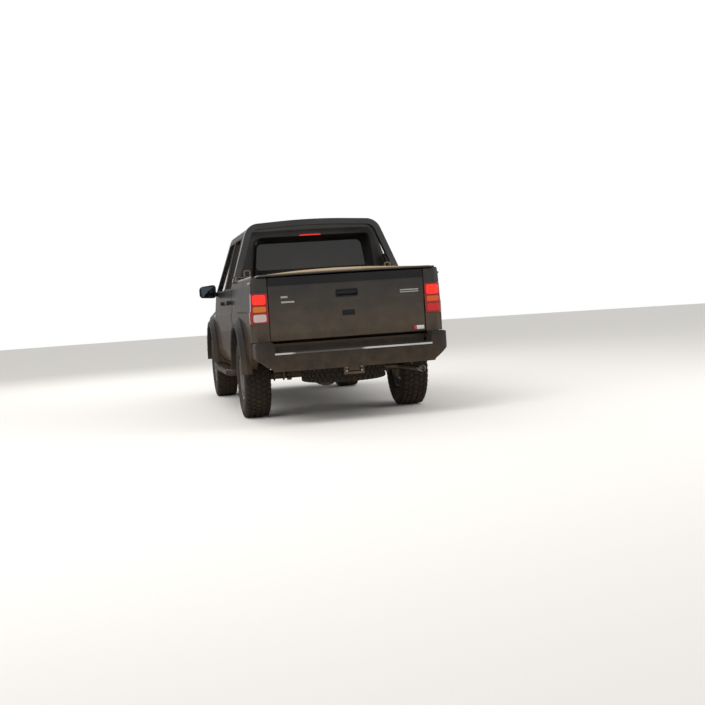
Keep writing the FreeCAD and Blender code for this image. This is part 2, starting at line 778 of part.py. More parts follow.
def step_strip():
    # Bright strip let into the rear bumper below its step.
    return box((rear_end, rear_end + 4), (-gate_half_width, gate_half_width),
               (bumper_step_z - 20, bumper_step_z - 6))


def rear_bumper():
    face = both_halves([
        (bumper_half_width - 152, bumper_bottom_z, 30), (bumper_half_width, 590, 30),
        (bumper_half_width, bumper_corner_z, 12),
        (gate_half_width + 6, bumper_corner_z, 12), (gate_half_width - 10, bumper_step_z, 10),
    ])
    plan = plan_of([(bed_rear + 120, bumper_half_width + 2, 40), (rear_end, bumper_half_width + 2, 110)])
    beam = common([prism(face, "front", rear_end, bed_rear + 180), prism(plan, "plan", 0, 1000)])
    hollow = box((bed_rear - 13, bed_rear + 400), (-bumper_half_width + 34, bumper_half_width - 34),
                 (0, 1000))
    inside = box((rear_end + 30, bed_rear + 400), (-bumper_half_width + 110, bumper_half_width - 110),
                 (0, bumper_step_z - 30))
    return cut(beam, [hollow, inside, step_strip()])


def alloy_trim():
    rail = box((rail_rear_x, bed_front - 400), (bed_inner_half_width + 12, body_half_width - 38),
               (bed_top_z + seat_gap, bed_top_z + 14))
    return Part.makeCompound([step_strip(), rail, mirrored(rail)])


def sports_bar():
    # An arched hoop that leans forward as it rises: a band from the front, cut to its outline from the side.
    shoulder = roof_half_width - 20
    top = roof_z + 16 - bar_width / 2
    path = [(bar_foot_y, bed_top_z, 0), (shoulder, top - 36, 120), (0, top, 6000),
            (-shoulder, top - 36, 120), (-bar_foot_y, bed_top_z, 0)]
    hoop = prism(ribbon(path, bar_width), "front", bed_front - 500, bed_front)
    foot = bed_front - 195
    side = [(foot, bed_top_z + seat_gap, 0), (foot + 153, roof_z + 40, 0), (foot + 68, roof_z + 40, 0),
            (foot + 8, roof_z - 180, 160), (foot - 87, bed_top_z + seat_gap, 0)]
    return common([hoop, prism(side, "side", -outer_y, outer_y)])


def tonneau_cover():
    rear = bed_rear - 10
    front = bed_front - 30
    half = bed_inner_half_width + 8
    crown = 42.0
    section = both_halves([(half, bed_top_z + seat_gap, 0), (half, bed_top_z + 14, 0),
                           (0, bed_top_z + 14 + crown, 9000)])
    run = (front - rear) * 0.44
    profile = [(rear, bed_top_z - 4, 0), (rear, bed_top_z + 22, 10), (rear + run, bed_top_z + 60, 3000),
               (front - run, bed_top_z + 60, 3000), (front, bed_top_z + 30, 0),
               (front, bed_top_z + seat_gap, 0),
               (bed_rear + 4, bed_top_z + seat_gap, 0), (bed_rear + 4, bed_top_z - 4, 0)]
    return common([prism(section, "front", rear - 10, front + 10), prism(profile, "side", -half, half)])


def side_step():
    y = body_half_width + 42
    z = 392.0
    front = door_front_x + 25
    rear = rear_door_rear_x + 55
    tube = pipe([V(front, y - 190, z), V(front - 65, y - 60, z), V(front - 130, y, z), V(rear + 130, y, z),
                 V(rear + 65, y - 60, z), V(rear, y - 190, z)], 32, 0)
    rail_y = rail_rear_y + rail_width / 2 + seat_gap
    arms = [pipe([V(x, rail_y, rail_middle_z - 48), V(x, rail_y + 32, rail_middle_z - 48),
                  V(x, rail_y + 76, z + 4),
                  V(x, y - 20, z)], 17, 0) for x in (along(800), along(200), along(-400))]
    return joined([tube] + arms)


def flare(x, body):
    # Wheel-arch flare: a revolved lip, closed against the body side and clear of the front bumper.
    y = body_half_width
    outer = arch_radius + flare_width
    lip = [(arch_radius - 3, y - 36, 0), (arch_radius - 3, y + 44, 0), (arch_radius + 6, y + 54, 0),
           (arch_radius + 0.45 * flare_width, y + 50, 0), (outer, y + 8, 0), (outer, y - 36, 0)]
    face = Part.Face(outline([(x + r, v, radius) for r, v, radius in lip], "plan", wheel_z))
    ring = face.revolve(V(x, 0, wheel_z), V(0, 1, 0), 360)
    front = min(x + outer + 20, nose_x - 276)
    ring = common([ring, box((x - outer - 20, front), (0, outer_y), (sill_z + 8, roof_z))])
    return cut(ring, [body])


def wheel_profile(corners, x, y, z, side):
    # Revolves corners (distance outwards from the wheel's middle plane, radius, rounding) about the axle.
    face = Part.Face(outline([(x + r, y + side * u, radius) for u, r, radius in corners], "plan", z))
    return face.revolve(V(x, y, z), V(0, 1, 0), 360)


tyre_half = tyre_width / 2
# Sections as distance outwards from the wheel's middle plane, radius, rounding
tyre_corners = [
    (-92, rim_radius + 2, 0), (-tyre_half, rim_radius + 60, 0), (-tyre_half, tyre_radius - 48, 0),
    (-tyre_half + 22, tyre_radius, 0), (tyre_half - 22, tyre_radius, 0), (tyre_half, tyre_radius - 48, 0),
    (tyre_half, rim_radius + 60, 0), (92, rim_radius + 2, 0),
]
rim_corners = [
    (-98, rim_radius + 1, 0), (96, rim_radius + 1, 0), (96, rim_radius + 9, 0), (104, rim_radius + 9, 0),
    (104, rim_radius - 12, 0), (58, rim_radius - 12, 0), (58, 70, 0), (72, 70, 0), (72, 0, 0),
    (26, 0, 0), (26, rim_radius - 8, 0), (-98, rim_radius - 8, 0),
]


def rim(x, y, side, hub):
    # Wheel with six windows, the brake disc or drum that turns with it, and its bearing bore.
    body = wheel_profile(rim_corners, x, y, wheel_z, side)
    window = [(-30, 104, 0), (30, 104, 0), (58, 150, 0), (36, 168, 0), (-36, 168, 0), (-58, 150, 0)]
    hole = prism([(x + u, wheel_z + v, radius) for u, v, radius in window], "side", y - 150, y + 150)
    holes = []
    for i in range(6):
        turned = hole.copy()
        turned.rotate(V(x, 0, wheel_z), V(0, 1, 0), 60 * i)
        holes.append(turned)
    body = cut(body, holes)
    if hub:
        thickness = 22 if hub == "disc" else 52
        brake = wheel_profile([(30, 0, 0), (30, 60, 0), (-20, 60, 0), (-20, brake_disc_radius, 0),
                               (-20 - thickness, brake_disc_radius, 0), (-20 - thickness, 0, 0)],
                              x, y, wheel_z, side)
        body = joined([body, brake])
    bore = rod(V(x, y - side * 130, wheel_z), V(x, y + side * 30, wheel_z),
               spindle_radius + running_clearance)
    return cut(body, [bore])


def tyre(x, y, side):
    return wheel_profile(tyre_corners, x, y, wheel_z, side)


def knuckle():
    # Left steering knuckle: upright, spindle and brake caliper, bored for the ball-joint pins.
    x = front_axle_x
    upright = prism([(x - 38, wheel_z - 118, 20), (x + 38, wheel_z - 118, 20), (x + 50, wheel_z, 60),
                     (x + 38, wheel_z + 118, 20), (x - 38, wheel_z + 118, 20), (x - 50, wheel_z, 60)],
                    "side", kingpin_y - 24, kingpin_y + 30)
    spindle = rod(V(x, kingpin_y, wheel_z), V(x, wheel_y + 26, wheel_z), spindle_radius)
    disc_y = wheel_y - 31
    caliper = box((x - 158, x - 88), (disc_y - 34, disc_y + 34), (wheel_z - 55, wheel_z + 55))
    slot = arch(x, brake_disc_radius + 4, disc_y - 15, disc_y + 15)
    bracket = box((x - 120, x - 30), (kingpin_y + 5, kingpin_y + 30), (wheel_z - 45, wheel_z + 45))
    body = joined([upright, spindle, cut(caliper, [slot]), bracket])
    pins = []
    for sign in (1, -1):
        outer = wheel_z + sign * 130
        pins.append(rod(V(x, kingpin_y, outer), V(x, kingpin_y, wheel_z + sign * 80),
                        12 + running_clearance))
    return cut(body, pins)


def front_suspension():
    x = front_axle_x
    shapes = []
    # Half width of a wishbone at each distance from the middle: y, half width, radius
    for z, inner in ((wheel_z - 137, rail_front_y - 70), (wheel_z + 137, rail_front_y + rail_width / 2)):
        half = [(x + 30, kingpin_y + 26), (x + 34, kingpin_y - 90), (x + 130, inner + 40), (x + 150, inner)]
        plan = [(u, v, 18) for u, v in half] + [(2 * x - u, v, 18) for u, v in reversed(half)]
        arm = prism(plan, "plan", z - 12, z + 12)
        hole = [(x - 70, inner + 60, 12), (x + 70, inner + 60, 12), (x + 12, kingpin_y - 115, 10),
                (x - 12, kingpin_y - 115, 10)]
        arm = cut(arm, [prism(hole, "plan", z - 20, z + 20)])
        toward = 1 if z < wheel_z else -1
        pin = rod(V(x, kingpin_y, z), V(x, kingpin_y, wheel_z - toward * 84), 12)
        shapes.append(joined([arm, pin]))
    return shapes


def suspension():
    left = front_suspension()
    spring = leaf_spring()
    return Part.makeCompound([s for piece in left + [spring] for s in (piece, mirrored(piece))])


def leaf_spring():
    # A pack of three leaves, its eyes, the axle seat above the tube, and the rear shackle.
    seat_z = wheel_z + axle_radius + 40
    x = rear_axle_x
    eye_z = spring_eye_z
    leaves = []
    for i, reach in enumerate((spring_reach, 0.77 * spring_reach, 0.5 * spring_reach)):
        drop = -i * 13
        rise = (eye_z - seat_z) * (reach / spring_reach) ** 2
        path = [(x + reach, seat_z + rise + drop, 0),
                (x, seat_z - rise + drop, 2 * reach ** 2 / max(rise, 1) / 2),
                (x - reach, seat_z + rise + drop, 0)]
        leaves.append(prism(ribbon(path, 12), "side", spring_y - spring_width / 2,
                            spring_y + spring_width / 2))
    eyes = [rod(V(x + s * spring_reach, spring_y - spring_width / 2, eye_z),
                V(x + s * spring_reach, spring_y + spring_width / 2, eye_z), 22) for s in (1, -1)]
    clamp = box((x - 55, x + 55), (spring_y - 38, spring_y + 38),
                (wheel_z + axle_radius + seat_gap, seat_z + 20))
    shackle = prism(ribbon([(x - spring_reach, eye_z, 0), (*spring_pins[1], 0)], 40), "side",
                    spring_y + spring_width / 2, spring_y + spring_width / 2 + 8)
    holes = [rod(V(px, spring_y - 60, pz), V(px, spring_y + 60, pz), spring_pin_radius + seat_gap)
             for px, pz in spring_pins]
    return cut(joined(leaves + eyes + [clamp, shackle]), holes)


def rear_axle():
    x = rear_axle_x
    reach = wheel_y - 84
    tube = rod(V(x, -reach, wheel_z), V(x, reach, wheel_z), axle_radius)
    spindles = rod(V(x, -wheel_y - 26, wheel_z), V(x, wheel_y + 26, wheel_z), spindle_radius)
    plates = [rod(V(x, s * (reach - 14), wheel_z), V(x, s * reach, wheel_z), 120) for s in (1, -1)]
    diff_y = 60.0
    section = [(x - 100, 0, 0), (x - 100, 95, 0), (x - 66, 138, 0), (x + 66, 138, 0), (x + 150, 62, 0),
               (x + 228, 48, 0), (x + 228, 0, 0)]
    case = Part.Face(outline([(u, diff_y + v, radius) for u, v, radius in section], "plan", wheel_z))
    case = case.revolve(V(x, diff_y, wheel_z), V(1, 0, 0), 360)
    return joined([tube, spindles, case] + plates)


def frame():
    dip_x = along(1180)
    rise_x = along(-780)
    side_path = [(rail_front_x, rail_front_z, 0), (dip_x + 150, rail_front_z, 200),
                 (dip_x, rail_middle_z, 200),
                 (rise_x, rail_middle_z, 200), (rise_x - 230, rail_rear_z, 200),
                 (rail_rear_x, rail_rear_z, 0)]
    plan_path = [(rail_front_x, rail_front_y, 0), (dip_x, rail_front_y, 300),
                 (dip_x - 330, rail_rear_y, 300),
                 (rail_rear_x, rail_rear_y, 0)]
    rail = common([
        prism(ribbon(side_path, rail_height), "side", 0, 1000),
        prism(ribbon(plan_path, rail_width), "plan", 0, 1000),
    ])
    members = []
    # Cross-members: place along the truck, height, half length
    for x, z, half in ((rail_front_x - 80, rail_front_z, rail_front_y),
                       (along(230), rail_middle_z + 38, rail_rear_y),
                       (rise_x - 10, rail_middle_z + 30, rail_rear_y),
                       (rear_axle_x - 200, rail_rear_z + 30, rail_rear_y),
                       (spare_x, rail_rear_z + 15, rail_rear_y),
                       (rail_rear_x + 35, rail_rear_z + 15, rail_rear_y)):
        members.append(rod(V(x, -half, z), V(x, half, z), 24))
    cradle = prism([(front_axle_x - 85, wheel_z - 160, 12), (front_axle_x + 85, wheel_z - 160, 12),
                    (front_axle_x + 60, rail_front_z, 0), (front_axle_x - 60, rail_front_z, 0)],
                   "side", -rail_front_y, rail_front_y)
    around = (front_axle_x - 200, front_axle_x + 200)
    cradle = cut(cradle, [box(around, sorted((s * (rail_front_y - 70 - seat_gap), s * outer_y)),
                              (wheel_z - 200, rail_front_z - 75)) for s in (1, -1)]
                 + [box(around, (-engine_half_width - 10, engine_half_width + 10), (wheel_z - 120, 700))])
    mount_x = engine_x[0] + 255
    mounts = [rod(V(mount_x, s * rail_front_y, rail_front_z),
                  V(mount_x, s * (engine_half_width + seat_gap), rail_front_z), 32) for s in (1, -1)]
    stays = [common([box((rail_front_x - 100, front_end),
                         sorted((s * (rail_front_y - 25), s * (rail_front_y + 25))),
                         (rail_front_z, rail_front_z + 115)),
                     front_bumper_form(bumper_skin + seat_gap)]) for s in (1, -1)]
    arms = [box((rear_end + 30 + seat_gap, bed_rear + 80),
                sorted((s * (rail_rear_y + 8), s * (rail_rear_y + 32))),
                (bumper_step_z - 95, bumper_step_z - 36)) for s in (1, -1)]
    hanger = rod(V(spare_x, 0, rail_rear_z + 15), V(spare_x, 0, spare_z - 30 + seat_gap), 28)
    member_x = gearbox_rear_x + 300
    gearbox_member = box((member_x, member_x + 80), (-rail_front_y - 40, rail_front_y + 40),
                         (rail_middle_z - 65, rail_middle_z - 45))
    pads = []
    for x, y in ((dip_x - 120, rail_front_y + 20), (along(250), rail_rear_y), (rise_x + 220, rail_rear_y)):
        for s in (1, -1):
            pads.append(rod(V(x, s * y, rail_middle_z), V(x, s * y, floor_bottom_z - seat_gap), 30))
    hangers = []
    for s in (1, -1):
        for x, z in spring_pins:
            y = sorted((s * (rail_rear_y + 20), s * (spring_y - spring_width / 2 - 0.5)))
            hangers.append(rod(V(x, y[0], z), V(x, y[1], z), 26))
            hangers.append(rod(V(x, s * (rail_rear_y + 20), z), V(x, s * (spring_y + 50), z),
                               spring_pin_radius))
    return joined([rail, mirrored(rail), cradle, gearbox_member, hanger] + members + pads + hangers
                  + mounts + stays + arms)


def driveline():
    low = rail_middle_z - 45 + seat_gap
    front = engine_x[0] - seat_gap
    rear = gearbox_rear_x
    gearbox = prism([(front, 420, 20), (front, 700, 20), (front - 195, 650, 40), (rear + 240, 575, 30),
                     (rear, 560, 30),
                     (rear, low, 30), (front - 165, low, 30)], "side", -150, 150)
    gearbox = common([gearbox, prism(plan_of([(front + 1, 148, 20), (front - 295, 105, 60),
                                              (rear, 90, 40)]),
                                     "plan", 0, 900)])
    start = V(rear + 20, 0, 495)
    end = V(rear_axle_x + 232, 60, wheel_z + 3)
    shaft = rod(start, end, 36)
    return Part.makeCompound([joined([gearbox, shaft])])


def engine_block():
    return box(engine_x, (-engine_half_width, engine_half_width), (450, 960))


def fuel_tank():
    rear = along(-620)
    front = along(160)
    corners = [(rear, 415, 40), (front, 415, 40), (front, 560, 40), (rear, 560, 40)]
    return prism(corners, "side", 90, rail_rear_y - rail_width / 2 - seat_gap)


def exhaust():
    y = -rail_rear_y + 220
    start = engine_x[0] - seat_gap
    silencer = along(-250)
    over = rear_axle_x - 140
    front = pipe([V(start, y + 10, 600), V(start - 55, y + 10, 600), V(start - 225, y + 10, 411),
                  V(silencer, y + 10, 411)], 26, 0)
    box_part = rod(V(silencer, y, 440), V(silencer - 440, y, 440), 82)
    tail = pipe([V(silencer - 430, y, 440), V(over + 490, y, 440), V(over + 320, y, 530), V(over, y, 530),
                 V(over - 100, y - 115, 405), V(over - 180, -wheel_y + 150, 400),
                 V(rear_end + 230, -wheel_y + 110, 400)],
                24, 0)
    return joined([front, box_part, tail])


def dashboard():
    x = cowl_x - 110
    corners = [(x - 330, 880, 40), (x - 300, 1085, 50), (x - 170, 1135, 60), (x, 1110, 30), (x, 900, 20)]
    half = body_half_width - 226
    panel = prism(corners, "side", -half, half)
    stays = [box((x - 80, cowl_x + 100), sorted((s * (half - 90), s * (half - 30))),
                 (960, 1040)) for s in (1, -1)]
    column = rod(steering_centre - steering_axis * 190, steering_centre - steering_axis * (16 + seat_gap),
                 26)
    return joined([common([joined([panel] + stays), cab_envelope(wall + seat_gap)]), column])


def steering_wheel():
    centre = steering_centre
    axis = steering_axis
    section = [(191, -11, 0), (191, 11, 0), (164, 11, 0), (164, -11, 0)]
    ring = Part.Face(outline(section, "side", 0)).revolve(V(0, 0, 0), V(0, 0, 1), 360)
    ring.Placement = FreeCAD.Placement(centre + axis * 8, FreeCAD.Rotation(V(0, 0, 1), axis))
    hub = rod(centre - axis * 16, centre + axis * 22, 48)
    spokes = []
    for angle in (0, 180, 270):
        arm = Part.makeBox(140, 30, 12, V(36, -15, -6))
        arm.rotate(V(0, 0, 0), V(0, 0, 1), angle)
        turn = FreeCAD.Rotation(V(0, 0, 1), axis)
        arm.Placement = FreeCAD.Placement(centre + axis * 8, turn).multiply(arm.Placement)
        spokes.append(arm)
    return joined([ring, hub] + spokes)


def seat(x, y, half, height):
    # Seat: base on the floor, cushion, backrest and headrest, as one soft form.
    cushion = prism([(x - 20, 700, 40), (x + 470, 720, 60), (x + 490, 860, 60), (x, 830, 50)],
                    "side", y - half, y + half)
    back = prism([(x - 70, 740, 50), (x + 60, 740, 50), (x - 70, height, 50), (x - 170, height, 50)],
                 "side", y - half, y + half)
    rests = []
    spots = (y,) if y else (-half * 0.625, 0, half * 0.625)
    for spot in spots:
        rests.append(prism([(x - 160, height - 20, 10), (x - 80, height - 20, 10),
                            (x - 110, height + 165, 40),
                            (x - 190, height + 165, 40)], "side", spot - 120, spot + 120))
    base = box((x + 20, x + 400), (y - half + 50, y + half - 50), (floor_z + seat_gap, 760))
    return joined([cushion, back, base] + rests)


def seats():
    rear_x = rear_door_rear_x + 185
    half = seat_y - 120
    return Part.makeCompound([seat(front_seat_x, seat_y, half, 1330),
                              seat(front_seat_x, -seat_y, half, 1330),
                              seat(rear_x, 0, body_half_width - 216, 1330)])


def mirror():
    # Left door mirror: arm from the door's front corner and a rounded housing.
    x = door_front_x - 70
    y = body_half_width
    face = [(y - 6, 1180, 34), (y + 180, 1192, 40), (y + 182, 1318, 46), (y - 6, 1336, 34)]
    housing = prism(face, "front", x - 62, x + 34)
    plan = [(x - 62, y - 16, 18), (x - 62, y + 200, 18), (x + 10, y + 200, 70), (x + 34, y - 16, 20)]
    housing = common([housing, prism(plan, "plan", 1000, 1500)])
    arm = box((x - 30, x + 16), (y - 76, y + 14), (1200, 1248))
    return cut(joined([housing, arm]), [cab_envelope(-seat_gap)])


def node_shapes():
    shapes = {
        "frame": frame(),
        "engine_block": engine_block(),
        "driveline": driveline(),
        "fuel_tank": fuel_tank(),
        "exhaust": exhaust(),
        "suspension": suspension(),
        "rear_axle": rear_axle(),
        "cab_shell": cab_shell(),
        "cab_glass": cab_glass(),
        "dashboard": dashboard(),
        "seats": seats(),
        "steering_wheel": steering_wheel(),
        "hood": hood(),
        "grille": front_panel(),
        "front_lamps": front_lamps(),
        "front_bumper": front_bumper(),
        "tail_lamps": tail_lamps(),
        "tailgate": tailgate(),
        "tailgate_handle": tailgate_handle(),
        "rear_bumper": rear_bumper(),
        "alloy_trim": alloy_trim(),
        "sports_bar": sports_bar(),
        "tonneau_cover": tonneau_cover(),
        "side_steps": both_sides(side_step()),
    }
    left_wing = wing()
    shapes["front_wings"] = both_sides(left_wing)
    load_bed = bed()
    shapes["bed"] = load_bed
    flares = [flare(front_axle_x, nose_envelope(0)), flare(rear_axle_x, bed_form())]
    shapes["arch_flares"] = Part.makeCompound([s for piece in flares for s in (piece, mirrored(piece))])
    doors = {"front": front_door, "rear": rear_door}
    for place_name, door in doors.items():
        panel = door_panel(door)
        glass = door_glass(door)
        shapes[f"door_{place_name}_left"] = panel
        shapes[f"door_{place_name}_right"] = mirrored(panel)
        shapes[f"glass_{place_name}_left"] = glass
        shapes[f"glass_{place_name}_right"] = mirrored(glass)
    shapes["mirror_left"] = mirror()
    shapes["mirror_right"] = mirrored(mirror())
    shapes["knuckle_left"] = knuckle()
    shapes["knuckle_right"] = mirrored(knuckle())
    for end, x, hub in (("front", front_axle_x, "disc"), ("rear", rear_axle_x, "drum")):
        for name, side in (("left", 1), ("right", -1)):
            shapes[f"tyre_{end}_{name}"] = tyre(x, side * wheel_y, side)
            shapes[f"rim_{end}_{name}"] = rim(x, side * wheel_y, side, hub)
    for name, shape in (("spare_tyre", tyre(0, 0, 1)), ("spare_rim", rim(0, 0, 1, None))):
        shape.rotate(V(0, 0, wheel_z), V(1, 0, 0), -90)
        shape.translate(V(spare_x, 0, spare_z - wheel_z))
        shapes[name] = shape
    return shapes


def main():
    os.makedirs("parts", exist_ok=True)
    for name, shape in node_shapes().items():
        solids = shape.Solids
        for solid in solids:
            if solid.Volume < 0:
                solid.reverse()
        kept = solids[0] if len(solids) == 1 else Part.makeCompound(solids)
        kept.exportStep(os.path.join("parts", name + ".step"))
        b = kept.BoundBox
        print(f"{name}: {len(solids)} solids, valid {kept.isValid()}, "
              f"x {b.XMin:.0f}..{b.XMax:.0f} y {b.YMin:.0f}..{b.YMax:.0f} z {b.ZMin:.0f}..{b.ZMax:.0f}")


main()
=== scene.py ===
import json
import math
import bpy
import numpy as np
from mathutils import Matrix, Vector
from mathutils.bvhtree import BVHTree


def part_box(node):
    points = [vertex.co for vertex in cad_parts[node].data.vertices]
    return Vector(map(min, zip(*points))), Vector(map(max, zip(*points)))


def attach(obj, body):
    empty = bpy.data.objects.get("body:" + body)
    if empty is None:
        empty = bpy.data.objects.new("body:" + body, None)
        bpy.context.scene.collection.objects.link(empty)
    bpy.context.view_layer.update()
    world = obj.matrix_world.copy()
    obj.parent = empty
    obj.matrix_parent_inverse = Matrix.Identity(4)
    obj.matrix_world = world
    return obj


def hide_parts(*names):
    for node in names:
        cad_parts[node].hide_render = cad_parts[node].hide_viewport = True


# A double-cab pickup truck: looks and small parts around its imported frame. Metres, X forward, Y left, Z up.
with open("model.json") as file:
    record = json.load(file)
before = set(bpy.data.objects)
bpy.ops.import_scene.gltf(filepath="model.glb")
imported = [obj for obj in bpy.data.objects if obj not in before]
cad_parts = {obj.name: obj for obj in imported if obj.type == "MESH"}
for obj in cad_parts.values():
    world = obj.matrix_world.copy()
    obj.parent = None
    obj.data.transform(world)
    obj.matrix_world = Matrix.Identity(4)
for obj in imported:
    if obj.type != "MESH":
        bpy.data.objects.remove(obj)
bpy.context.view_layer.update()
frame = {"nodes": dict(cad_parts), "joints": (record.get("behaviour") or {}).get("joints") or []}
nodes = frame["nodes"]
materials = {}

quarters = ["front_left", "front_right", "rear_left", "rear_right"]
hands = {"left": 1, "right": -1}
# Where each wheel turns, from the frame's joints
hubs = {joint["child"]: joint["pos_m"] for joint in frame["joints"] if joint["child"].startswith("wheel_")}
truck = {
    "frontAxle": hubs["wheel_front_left"][0], "rearAxle": hubs["wheel_rear_left"][0],
    "axleZ": hubs["wheel_front_left"][2],
    # half width of the body side at each height
    "sideZ": [0.43, 0.60, 0.985, 1.003, 1.225, 1.842], "sideY": [0.806, 0.848, 0.856, 0.846, 0.836, 0.652],
}
facingBack = ((0, -1, 0), (0, 0, 1))  # the across and above of a plate that faces back
lyingFlat = ((1, 0, 0), (0, 1, 0))    # and of one that lies flat


def newObject(name, data):
    # An object made from its data and put in the scene.
    made = bpy.data.objects.new(name, data)
    bpy.context.scene.collection.objects.link(made)
    return made


def putMesh(name, parts, material, body="truck", sharp=30):
    # One object from its parts, each (points, quads, triangles), kept sharp where faces meet above an angle.
    starts = np.cumsum([0] + [len(points) for points, quads, tris in parts])
    points = np.concatenate([part[0] for part in parts])
    quads = np.concatenate([part[1] + start for part, start in zip(parts, starts)])
    tris = np.concatenate([part[2] + start for part, start in zip(parts, starts)])
    mesh = bpy.data.meshes.new(name)
    mesh.from_pydata(points, [], quads.tolist() + tris.tolist(), shade_flat=False)
    mesh.validate()
    mesh.set_sharp_from_angle(angle=math.radians(sharp))
    mesh.materials.append(materials[material])
    made = newObject(name, mesh)
    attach(made, body)
    return made


def boxOf(name):
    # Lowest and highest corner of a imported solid, to a tenth of a millimetre.
    return np.round(np.array(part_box(name)), 4)


def unit(v):
    # A vector divided by its length.
    return np.asarray(v, float) / np.linalg.norm(v)


def outward(points, quads, tris):
    # The faces turned over if their signed volume is negative, so that they point outwards.
    three = np.concatenate([quads[:, [0, 1, 2]], quads[:, [0, 2, 3]], tris])
    a, b, c = points[three[:, 0]], points[three[:, 1]], points[three[:, 2]]
    if np.einsum("ij,ij->i", a, np.cross(b, c)).sum() < 0:
        quads, tris = quads[:, ::-1], tris[:, ::-1]
    return points, quads, tris


def skin(grid, closed=False):
    # Quads between rows of points that each run round. The last row joins the first, or fans close the ends.
    grid = np.asarray(grid, float)
    rows, cols = grid.shape[:2]
    index = np.arange(rows * cols).reshape(rows, cols)
    after = np.roll(index, -1, 1)
    quads = np.stack([index, after, np.roll(after, -1, 0), np.roll(index, -1, 0)], -1)
    quads = quads[:rows if closed else rows - 1].reshape(-1, 4)
    points, tris = grid.reshape(-1, 3), np.zeros((0, 3), int)
    if not closed:
        first, last, middle = index[0], index[-1], np.full(cols, rows * cols)
        tris = np.concatenate([np.stack([middle, np.roll(first, -1), first], -1),
                               np.stack([middle + 1, last, np.roll(last, -1)], -1)])
        points = np.concatenate([points, grid[0].mean(0)[None], grid[-1].mean(0)[None]])
    return outward(points, quads, tris)


def lathe(profile, origin, axis, sides, closed=False):
    # Profile of (distance along the axis, radius) turned round the axis. A closed profile makes a ring.
    profile, axis = np.asarray(profile, float), unit(axis)
    across = unit(np.cross(axis, (0, 0, 1.0) if abs(axis[2]) < 0.9 else (1.0, 0, 0)))
    up = np.cross(across, axis)
    angle = np.linspace(0, 2 * np.pi, sides, endpoint=False)[:, None]
    spokes = np.cos(angle) * across + np.sin(angle) * up
    middles = np.asarray(origin, float) + profile[:, None, :1] * axis
    return skin(middles + profile[:, None, 1:] * spokes, closed)


def sweep(section, path, up=(0, 0, 1), closed=False):
    # Section of (across, above) carried along a path. Its sides stay square to the path and to up.
    path, section = np.asarray(path, float), np.asarray(section, float)
    along = np.roll(path, -1, 0) - np.roll(path, 1, 0) if closed else np.gradient(path, axis=0)
    along /= np.linalg.norm(along, axis=1)[:, None]
    across = np.cross(np.asarray(up, float), along)
    across /= np.linalg.norm(across, axis=1)[:, None] + 1e-12
    above = np.cross(along, across)
    return skin(path[:, None] + section[:, :1] * across[:, None] + section[:, 1:] * above[:, None], closed)


def circle(radius, sides):
    # Points at the cosine and sine of even angles.
    angle = np.linspace(0, 2 * np.pi, sides, endpoint=False)
    return np.stack([radius * np.cos(angle), radius * np.sin(angle)], -1)


def dome(halfWidth, height, steps=8):
    # Half an ellipse for seals and ridges, its flat side down.
    angle = np.linspace(0, np.pi, steps)
    return np.stack([halfWidth * np.cos(angle), height * np.sin(angle)], -1)


def ribbon(halfWidth, halfThick):
    # The four corners of a flat band.
    return np.array([(-1, -1), (1, -1), (1, 1), (-1, 1)]) * [halfWidth, halfThick]


def roundRect(halfWidth, halfHeight, radius, steps=5):
    # Points round a rectangle with quarter circles for corners, anticlockwise.
    turn = (np.linspace(0, np.pi / 2, steps + 1)[None] + np.arange(4)[:, None] * np.pi / 2).ravel()
    sideways = np.repeat([1, -1, -1, 1], steps + 1) * (halfWidth - radius)
    upright = np.repeat([1, 1, -1, -1], steps + 1) * (halfHeight - radius)
    return np.stack([sideways + radius * np.cos(turn), upright + radius * np.sin(turn)], -1)


def smoothPath(points, count):
    # A cubic between each two points, whose slope at a point is half the step between its neighbours.
    p = np.asarray(points, float)
    t = np.linspace(0, len(p) - 1, count)
    i = np.minimum(t.astype(int), len(p) - 2)
    f = (t - i)[:, None]
    a, b, c, d = (p[np.clip(i + k, 0, len(p) - 1)] for k in (-1, 0, 1, 2))
    square, cube = 2 * a - 5 * b + 4 * c - d, 3 * b - a - 3 * c + d
    return 0.5 * (2 * b + (c - a) * f + square * f ** 2 + cube * f ** 3)


def loopOf(corners, reach, count):
    # A closed line through corners, each cut by a parabola that starts at that reach from it, evenly sampled.
    corners = np.asarray(corners, float)
    toward, onward = np.roll(corners, 1, 0) - corners, np.roll(corners, -1, 0) - corners
    start = corners + toward / np.linalg.norm(toward, axis=1)[:, None] * reach
    end = corners + onward / np.linalg.norm(onward, axis=1)[:, None] * reach
    t = np.linspace(0, 1, 7)[None, :, None]
    curve = start[:, None] * (1 - t) ** 2 + 2 * corners[:, None] * t * (1 - t) + end[:, None] * t ** 2
    curve = curve.reshape(-1, 2)
    closed = np.concatenate([curve, curve[:1]])
    run = np.concatenate([[0], np.cumsum(np.linalg.norm(np.diff(closed, axis=0), axis=1))])
    at = np.linspace(0, run[-1], count, endpoint=False)
    return np.stack([np.interp(at, run, closed[:, k]) for k in (0, 1)], -1)


